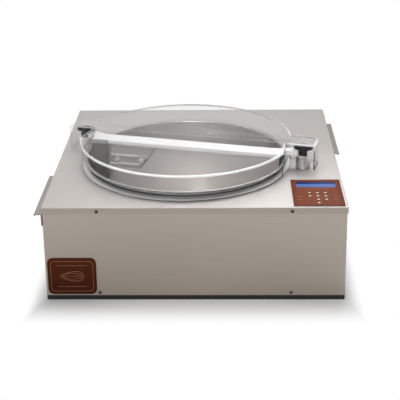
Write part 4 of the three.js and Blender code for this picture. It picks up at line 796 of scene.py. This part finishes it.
def makeKnob(name, body, node, reach, s):
    low, high = s["bottom"], s["bottom"] + s["height"]
    bm = drum(s["hub"], low, high, *s["hubEdges"], s["hubSteps"])
    absorb(bm, barSolid(s["wing"], low + s["wingRise"], *s["wingEdge"]))
    for side in (-1, 1):
        lobe = drum(s["lobeRadius"], low + s["lobeRise"], high, *s["lobeEdges"],
                    s["lobeSteps"])
        moveAll(lobe, Matrix.Translation((side * s["lobeOffset"], 0, 0)))
        absorb(bm, lobe)
    absorb(bm, spun([(radius, high + rise) for radius, rise in s["cap"]], s["capSteps"]))
    absorb(bm, spun(s["stud"], s["studSteps"]))
    moveAll(bm, toPost(reach))
    piece = closeMesh(bm, name, body, knobPlastic, 40.0)
    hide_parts(node)


def makePost(name, node, reach, s):
    bm = spun(s["profile"], s["steps"])
    moveAll(bm, toPost(reach))
    piece = closeMesh(bm, name, "case", turnedSteel, 30.0)
    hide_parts(node)


makeBeam(beamSettings)
makeKnob("knobLeft", "knob_left", "clamp_knob_left", -beamSettings["postLeft"], knobSettings)
makeKnob("knobRight", "knob_right", "clamp_knob_right", beamSettings["postRight"], knobSettings)
makePost("postLeft", "clamp_post_left", -beamSettings["postLeft"], postSettings)
makePost("postRight", "clamp_post_right", beamSettings["postRight"], postSettings)
print("baffle made")


# Screws: a domed head with a raised cross, made along +Z and then turned to face the front
screwSettings = {
    "profile": [(0, -0.0015), (0.0035, -0.0015), (0.0035, 0.00081), (0.00273, 0.001548),
                (0.00105, 0.0018), (0, 0.0018)],
    "steps": 40, "crown": 0.0018, "bar": (0.0042, 0.0009, 0.0004), "barEdge": (0.0001, 1),
    "turn": 0.4, "across": 0.194, "deckRow": (-0.3052, 0.196), "panRow": (-0.3034, 0.016),
}


def makeScrew(name, node, place, s):
    bm = spun(s["profile"], s["steps"])
    for turn in (s["turn"], s["turn"] + math.pi / 2):
        bar = barSolid(s["bar"], s["crown"], *s["barEdge"])
        moveAll(bar, Matrix.Rotation(turn, 4, "Z"))
        absorb(bm, bar)
    moveAll(bm, Matrix.Translation(place) @ Matrix.Rotation(math.pi / 2, 4, "X"))
    piece = closeMesh(bm, name, "case", darkScrew, 40.0)
    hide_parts(node)


for side, x in (("left", -screwSettings["across"]), ("right", screwSettings["across"])):
    makeScrew(f"deckScrew_{side}", f"deck_screw_{side}", (x, *screwSettings["deckRow"]),
              screwSettings)
    makeScrew(f"panScrew_{side}", f"pan_screw_{side}", (x, *screwSettings["panRow"]),
              screwSettings)
print("screws made")


# Feet
footSettings = {
    "profile": [(0, 0.004), (0.007, 0.004), (0.007, 0.0), (0.0155, 0.0), (0.0170, 0.0015),
                (0.0186, 0.0052), (0.0186, 0.0060), (0.020, 0.0066), (0.020, 0.0097),
                (0, 0.0097)],
    "steps": 64, "reach": 0.259,
}


def makeFoot(name, node, x, y, s):
    bm = spun(s["profile"], s["steps"])
    moveAll(bm, Matrix.Translation((x, y, 0)))
    piece = closeMesh(bm, name, "case", footRubber, 35.0)
    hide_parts(node)


for yName, y in (("front", -1), ("rear", 1)):
    for xName, x in (("left", -1), ("right", 1)):
        makeFoot(f"footPad_{yName}_{xName}", f"foot_{yName}_{xName}",
                 x * footSettings["reach"], y * footSettings["reach"], footSettings)
print("feet made")


# Base skirt: a dark strip between the case and the table, set in behind the steel, that paints
# the shadow under the case
shadowSkirtSettings = {"width": 0.6064, "depth": 0.6064, "corner": 0.004, "wall": 0.0020,
                 "bottom": 0.0002, "height": 0.0095}


def makeShadowSkirt(s):
    bm = outlineRing(s["width"], s["depth"], s["corner"], s["wall"], s["height"])
    moveAll(bm, Matrix.Translation((0, 0, s["bottom"])))
    closeMesh(bm, "shadowSkirt", "case", footRubber, 40.0)


makeShadowSkirt(shadowSkirtSettings)
print("skirt made")


# Opening collar: the deck's drawn edge about the bowl, sloping down to the sheet, with painted
# light that makes it paler than the deck
collarSettings = {
    "profile": [(0.2172, 0.2041), (0.2172, 0.2094), (0.2178, 0.2100), (0.2188, 0.2100),
                (0.2264, 0.2045), (0.2264, 0.2041), (0.2172, 0.2041)],
    "steps": 160,
}


def makeCollar(s):
    bm = spun(s["profile"], s["steps"])
    moveAll(bm, toBowl())
    closeMesh(bm, "openingCollar", "case", collarSteel, 40.0)


makeCollar(collarSettings)
print("collar made")


# Badge: a bare enamelled plate with a raised border and a plain pod outline
badgeSettings = {
    "width": 0.0862, "height": 0.0672, "corner": 0.008, "border": 0.0006, "rise": 0.0003,
    "face": -0.30475, "podHalf": (0.024, 0.0145), "podTaper": 0.28, "podSteps": 48,
    "podLine": 0.0007, "ribs": (-0.0065, 0.0, 0.0065), "ribStart": -0.021,
    "ribLength": 0.039, "ribLean": 0.4, "ribSteps": 16, "ribEnds": 1.5, "ribLine": 0.0005,
    "bars": (-0.0235, 0.0235), "barHalf": 0.030, "barLine": 0.0006,
}


def makeBadgeLines(s):
    bm = outlineRing(s["width"], s["height"], s["corner"], s["border"], s["rise"])
    wide, tall = s["podHalf"]
    turns = [2 * math.pi * i / s["podSteps"] for i in range(s["podSteps"] + 1)]
    pod = [(wide * math.cos(t),
            tall * math.sin(t) * (1 - s["podTaper"] + s["podTaper"] * math.cos(t)))
           for t in turns]
    absorb(bm, strokeAlong(pod, s["podLine"], s["rise"]))
    steps, ends = s["ribSteps"], s["ribEnds"]
    for height in s["ribs"]:
        start = s["ribStart"] + abs(height) * s["ribLean"]
        rib = [(start + s["ribLength"] * i / steps,
                height * math.sin(math.pi * (i + ends) / (steps + 2 * ends)))
               for i in range(steps + 1)]
        absorb(bm, strokeAlong(rib, s["ribLine"], s["rise"]))
    for height in s["bars"]:
        bar = [(-s["barHalf"], height), (s["barHalf"], height)]
        absorb(bm, strokeAlong(bar, s["barLine"], s["rise"]))
    middle = layout["badgeMiddle"]
    moveAll(bm, Matrix.Translation((middle[0], s["face"], middle[2]))
            @ Matrix.Rotation(math.pi / 2, 4, "X"))
    closeMesh(bm, "badgeLines", "case", tanInk, 40.0)


makeBadgeLines(badgeSettings)
print("badge made")


# Control panel: printed ticks, each with its middle and length, and domed keys
panelSettings = {
    "surface": 0.2051, "tickWidth": 0.0007, "tickCorner": 0.0002, "tickRise": 0.00012,
    "ticks": [(0.2110, -0.251, 0.012), (0.2860, -0.251, 0.012), (0.2110, -0.268, 0.010),
              (0.2830, -0.268, 0.008), (0.2485, -0.2135, 0.050)],
    "keyProfile": [(0, 0.2046), (0.0046, 0.2046), (0.0046, 0.2054), (0.0040, 0.2057),
                   (0.0018, 0.20585), (0, 0.2059)],
    "keySteps": 40,
    "keys": {
        "key_status_left": (0.2325, -0.234), "key_status_middle": (0.2485, -0.234),
        "key_status_right": (0.2645, -0.234), "key_left": (0.2325, -0.251),
        "key_up": (0.2485, -0.251), "key_right": (0.2645, -0.251),
        "key_enter": (0.2485, -0.268), "key_mode": (0.2645, -0.268),
        "key_down": (0.2485, -0.285)},
}
keyLook = {"dark": (0.78, 0.60, 0.34), "light": (0.86, 0.70, 0.44), "cloud": 300.0,
           "ring": (0.055, 0.016, 0.008), "ringFade": (0.0019, 0.0027), "rough": 0.34,
           "roughSpread": 0.06, "speck": 500.0}


def keyFinish(look, spots):
    # dark ring with a cream dot, about each key's own middle
    f = Finish("keyFace")
    x, y, _ = f.axes()
    nearest = None
    for spot in spots:
        away = ((x - spot[0]) * (x - spot[0]) + (y - spot[1]) * (y - spot[1])).power(0.5)
        nearest = away if nearest is None else nearest.maths("MINIMUM", away)
    cream = f.mix(f.noise(look["cloud"]), look["dark"], look["light"])
    rough = look["rough"] + f.noise(look["speck"]) * look["roughSpread"]
    return f.close({"Base Color": f.mix(f.smooth(nearest, *look["ringFade"]), cream,
                                        look["ring"]), "Roughness": rough})


def makeKey(node, place, s):
    bm = spun(s["keyProfile"], s["keySteps"])
    moveAll(bm, Matrix.Translation((*place, 0)))
    piece = closeMesh(bm, "cap_" + node, node, keyFace, 45.0)
    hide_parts(node)


def makePanelPrint(s):
    bm = bmesh.new()
    for x, y, length in s["ticks"]:
        tick = raiseFace(plateFace(length, s["tickWidth"], s["tickCorner"]), s["tickRise"])
        moveAll(tick, Matrix.Translation((x, y, s["surface"])))
        absorb(bm, tick)
    closeMesh(bm, "panelTicks", "case", tanInk, 40.0)


keyFace = keyFinish(keyLook, panelSettings["keys"].values())
for node, place in panelSettings["keys"].items():
    makeKey(node, place, panelSettings)
makePanelPrint(panelSettings)
print("control panel made")


# Finishes on the pieces that keep their own shape
finishes = {
    "base_pan": zincSteel, "case_wrap": frontSteel, "rear_panel": frontSteel,
    "deck_cover": deckSteel, "grip_left": gripSteel, "grip_right": gripSteel,
    "badge_plate": badgeBrown, "control_overlay": overlayBrown, "lcd_module": displayBlue,
    "keypad_board": boardGreen, "turntable": castAluminium, "spindle": turnedSteel,
    "turntable_gear": nylonGear, "bearing_housing": castAluminium, "drive_bridge": zincSteel,
    "gear_motor": blackPlastic, "drive_pinion": nylonGear, "heater_element": turnedSteel,
    "heater_tray": zincSteel, "bowl_sensor": blackPlastic, "fan_frame": blackPlastic,
    "fan_rotor": blackPlastic, "fan_guard": brightSteel, "mains_inlet": blackPlastic,
    "switch_housing": blackPlastic, "switch_rocker": blackPlastic, "power_supply": zincSteel,
    "relay_board": boardGreen, "divider_plate": dividerSteel,
    "divider_screw_left": brightSteel, "divider_screw_right": brightSteel,
    "scraper_plate": scraperPlastic, "scraper_bracket": bracketPlastic,
    "thumb_screw_left": boltNylon, "thumb_screw_right": boltNylon,
}
for name, material in finishes.items():
    piece = nodes[name]
    if not piece.data.materials:
        piece.data.materials.append(material)
    for slot in piece.material_slots:
        slot.material = material
print("finishes set")


# Camera at the photograph's angle, with the lens shifted down
cameraSettings = {
    "place": Vector((0.0682, -2.250, 1.058)), "pitch": math.radians(19.02),
    "yaw": math.radians(-1.59), "roll": math.radians(-0.78), "lens": 96.58, "shift": -0.20,
}


def makeCamera(s):
    ahead = Vector((math.sin(s["yaw"]) * math.cos(s["pitch"]),
                    math.cos(s["yaw"]) * math.cos(s["pitch"]), -math.sin(s["pitch"])))
    right = Vector((math.cos(s["yaw"]), -math.sin(s["yaw"]), 0))
    up = right.cross(ahead)
    c, n = math.cos(s["roll"]), math.sin(s["roll"])
    tilted = Matrix((right * c + up * n, up * c - right * n, -ahead)).transposed()
    data = bpy.data.cameras.new("photoCamera")
    data.sensor_width = 36.0
    data.sensor_fit = "AUTO"
    data.lens = s["lens"]
    data.shift_y = s["shift"]
    camera = bpy.data.objects.new("photoCamera", data)
    camera.matrix_world = Matrix.Translation(s["place"]) @ tilted.to_4x4()
    bpy.context.scene.collection.objects.link(camera)
    bpy.context.scene.camera = camera


makeCamera(cameraSettings)


# Studio: a pale floor, a white surround and soft lamps
studio = {
    "floorRadius": 6.0, "floorSteps": 96, "floorTone": (0.90, 0.90, 0.90),
    "halfSide": 0.305, "sideFade": (0.0, 0.035), "frontFade": (0.0, 0.105),
    "glossFade": (0.42, 1.1), "worldLevel": 0.40, "frontGloss": 0.45,
    "roomFade": (-0.35, 0.25),
    "lamps": [
        {"name": "overhead", "place": (-0.5, 0.7, 2.6), "aim": (0, 0, 0.2), "size": (2.4, 1.8),
         "power": 8.0, "spread": 180.0},
        {"name": "deckGlow", "place": (0.10, 0.36, 1.26), "aim": (0.06, -0.26, 0.2),
         "size": (1.3, 0.8), "power": 5.6, "spread": 180.0},
        {"name": "frontGlow", "place": (0.24, 0.40, 0.92), "aim": (0.16, -0.33, 0.2),
         "size": (0.6, 0.3), "power": 0.16, "spread": 28.0},
        {"name": "bowlGlow", "place": (-0.2, -1.5, 1.65), "aim": (0.0, -0.05, 0.17),
         "size": (0.8, 0.5), "power": 0.75, "spread": 26.0},
    ],
}


def makeFloor(s):
    # the paper turns plain white away from the machine, for the camera and in reflections
    bm = bmesh.new()
    bmesh.ops.create_circle(bm, cap_ends=True, radius=s["floorRadius"],
                            segments=s["floorSteps"])
    mesh = bpy.data.meshes.new("studioFloor")
    bm.to_mesh(mesh)
    bm.free()
    floor = bpy.data.objects.new("studioFloor", mesh)
    bpy.context.scene.collection.objects.link(floor)
    f = Finish("floorPaper")
    x, y, _ = f.axes()
    away = (x * x + y * y).power(0.5)
    beside = f.smooth(x.size() - s["halfSide"], *s["sideFade"])
    before = f.smooth(y.size() - s["halfSide"], *s["frontFade"])
    paper = f.node("ShaderNodeBsdfDiffuse", {"Color": (*s["floorTone"], 1)})
    glow = f.node("ShaderNodeEmission", {"Color": (1, 1, 1, 1), "Strength": 1.0})
    seen = f.node("ShaderNodeLightPath", out="Is Camera Ray")
    mirrored = f.outlet(seen, "Is Glossy Ray").maths("MAXIMUM",
                                                     f.outlet(seen, "Is Transmission Ray"))
    share = (beside.maths("MAXIMUM", before) * seen
             + f.smooth(away, *s["glossFade"]) * mirrored)
    both = f.node("ShaderNodeMixShader", {0: share, 1: paper, 2: glow})
    f.node("ShaderNodeOutputMaterial", {"Surface": both}, out=None)
    mesh.materials.append(f.material)


def makeWorld(s):
    # white where it shows, dimmer as a light and in reflections of the front of the room
    world = bpy.data.worlds.new("studioWorld")
    bpy.context.scene.world = world
    w = Finish("studioWorld", world)
    seen = w.node("ShaderNodeLightPath", out="Is Camera Ray")
    shown = seen.maths("MAXIMUM", w.outlet(seen, "Is Glossy Ray")).maths(
        "MAXIMUM", w.outlet(seen, "Is Transmission Ray"))
    ahead = w.node("ShaderNodeSeparateXYZ",
                   {"Vector": w.node("ShaderNodeTexCoord", out="Generated")}, out="Y")
    room = s["frontGloss"] + w.smooth(ahead, *s["roomFade"]) * (1 - s["frontGloss"])
    mirror = w.outlet(seen, "Is Glossy Ray") * (1 - room)
    level = s["worldLevel"] + shown * (1 - s["worldLevel"]) - mirror
    sky = w.node("ShaderNodeBackground", {"Color": (1, 1, 1, 1), "Strength": level})
    w.node("ShaderNodeOutputWorld", {"Surface": sky}, out=None)


def makeLamps(s):
    for lamp in s["lamps"]:
        data = bpy.data.lights.new(lamp["name"], "AREA")
        data.shape = "RECTANGLE"
        data.size, data.size_y = lamp["size"]
        data.energy = lamp["power"]
        data.spread = math.radians(lamp["spread"])
        light = bpy.data.objects.new(lamp["name"], data)
        light.location = lamp["place"]
        aim = Vector(lamp["aim"]) - Vector(lamp["place"])
        light.rotation_mode = "QUATERNION"
        light.rotation_quaternion = aim.to_track_quat("-Z", "Y")
        bpy.context.scene.collection.objects.link(light)


makeFloor(studio)
makeWorld(studio)
makeLamps(studio)
bpy.context.scene.view_settings.view_transform = "Standard"
print("studio ready")
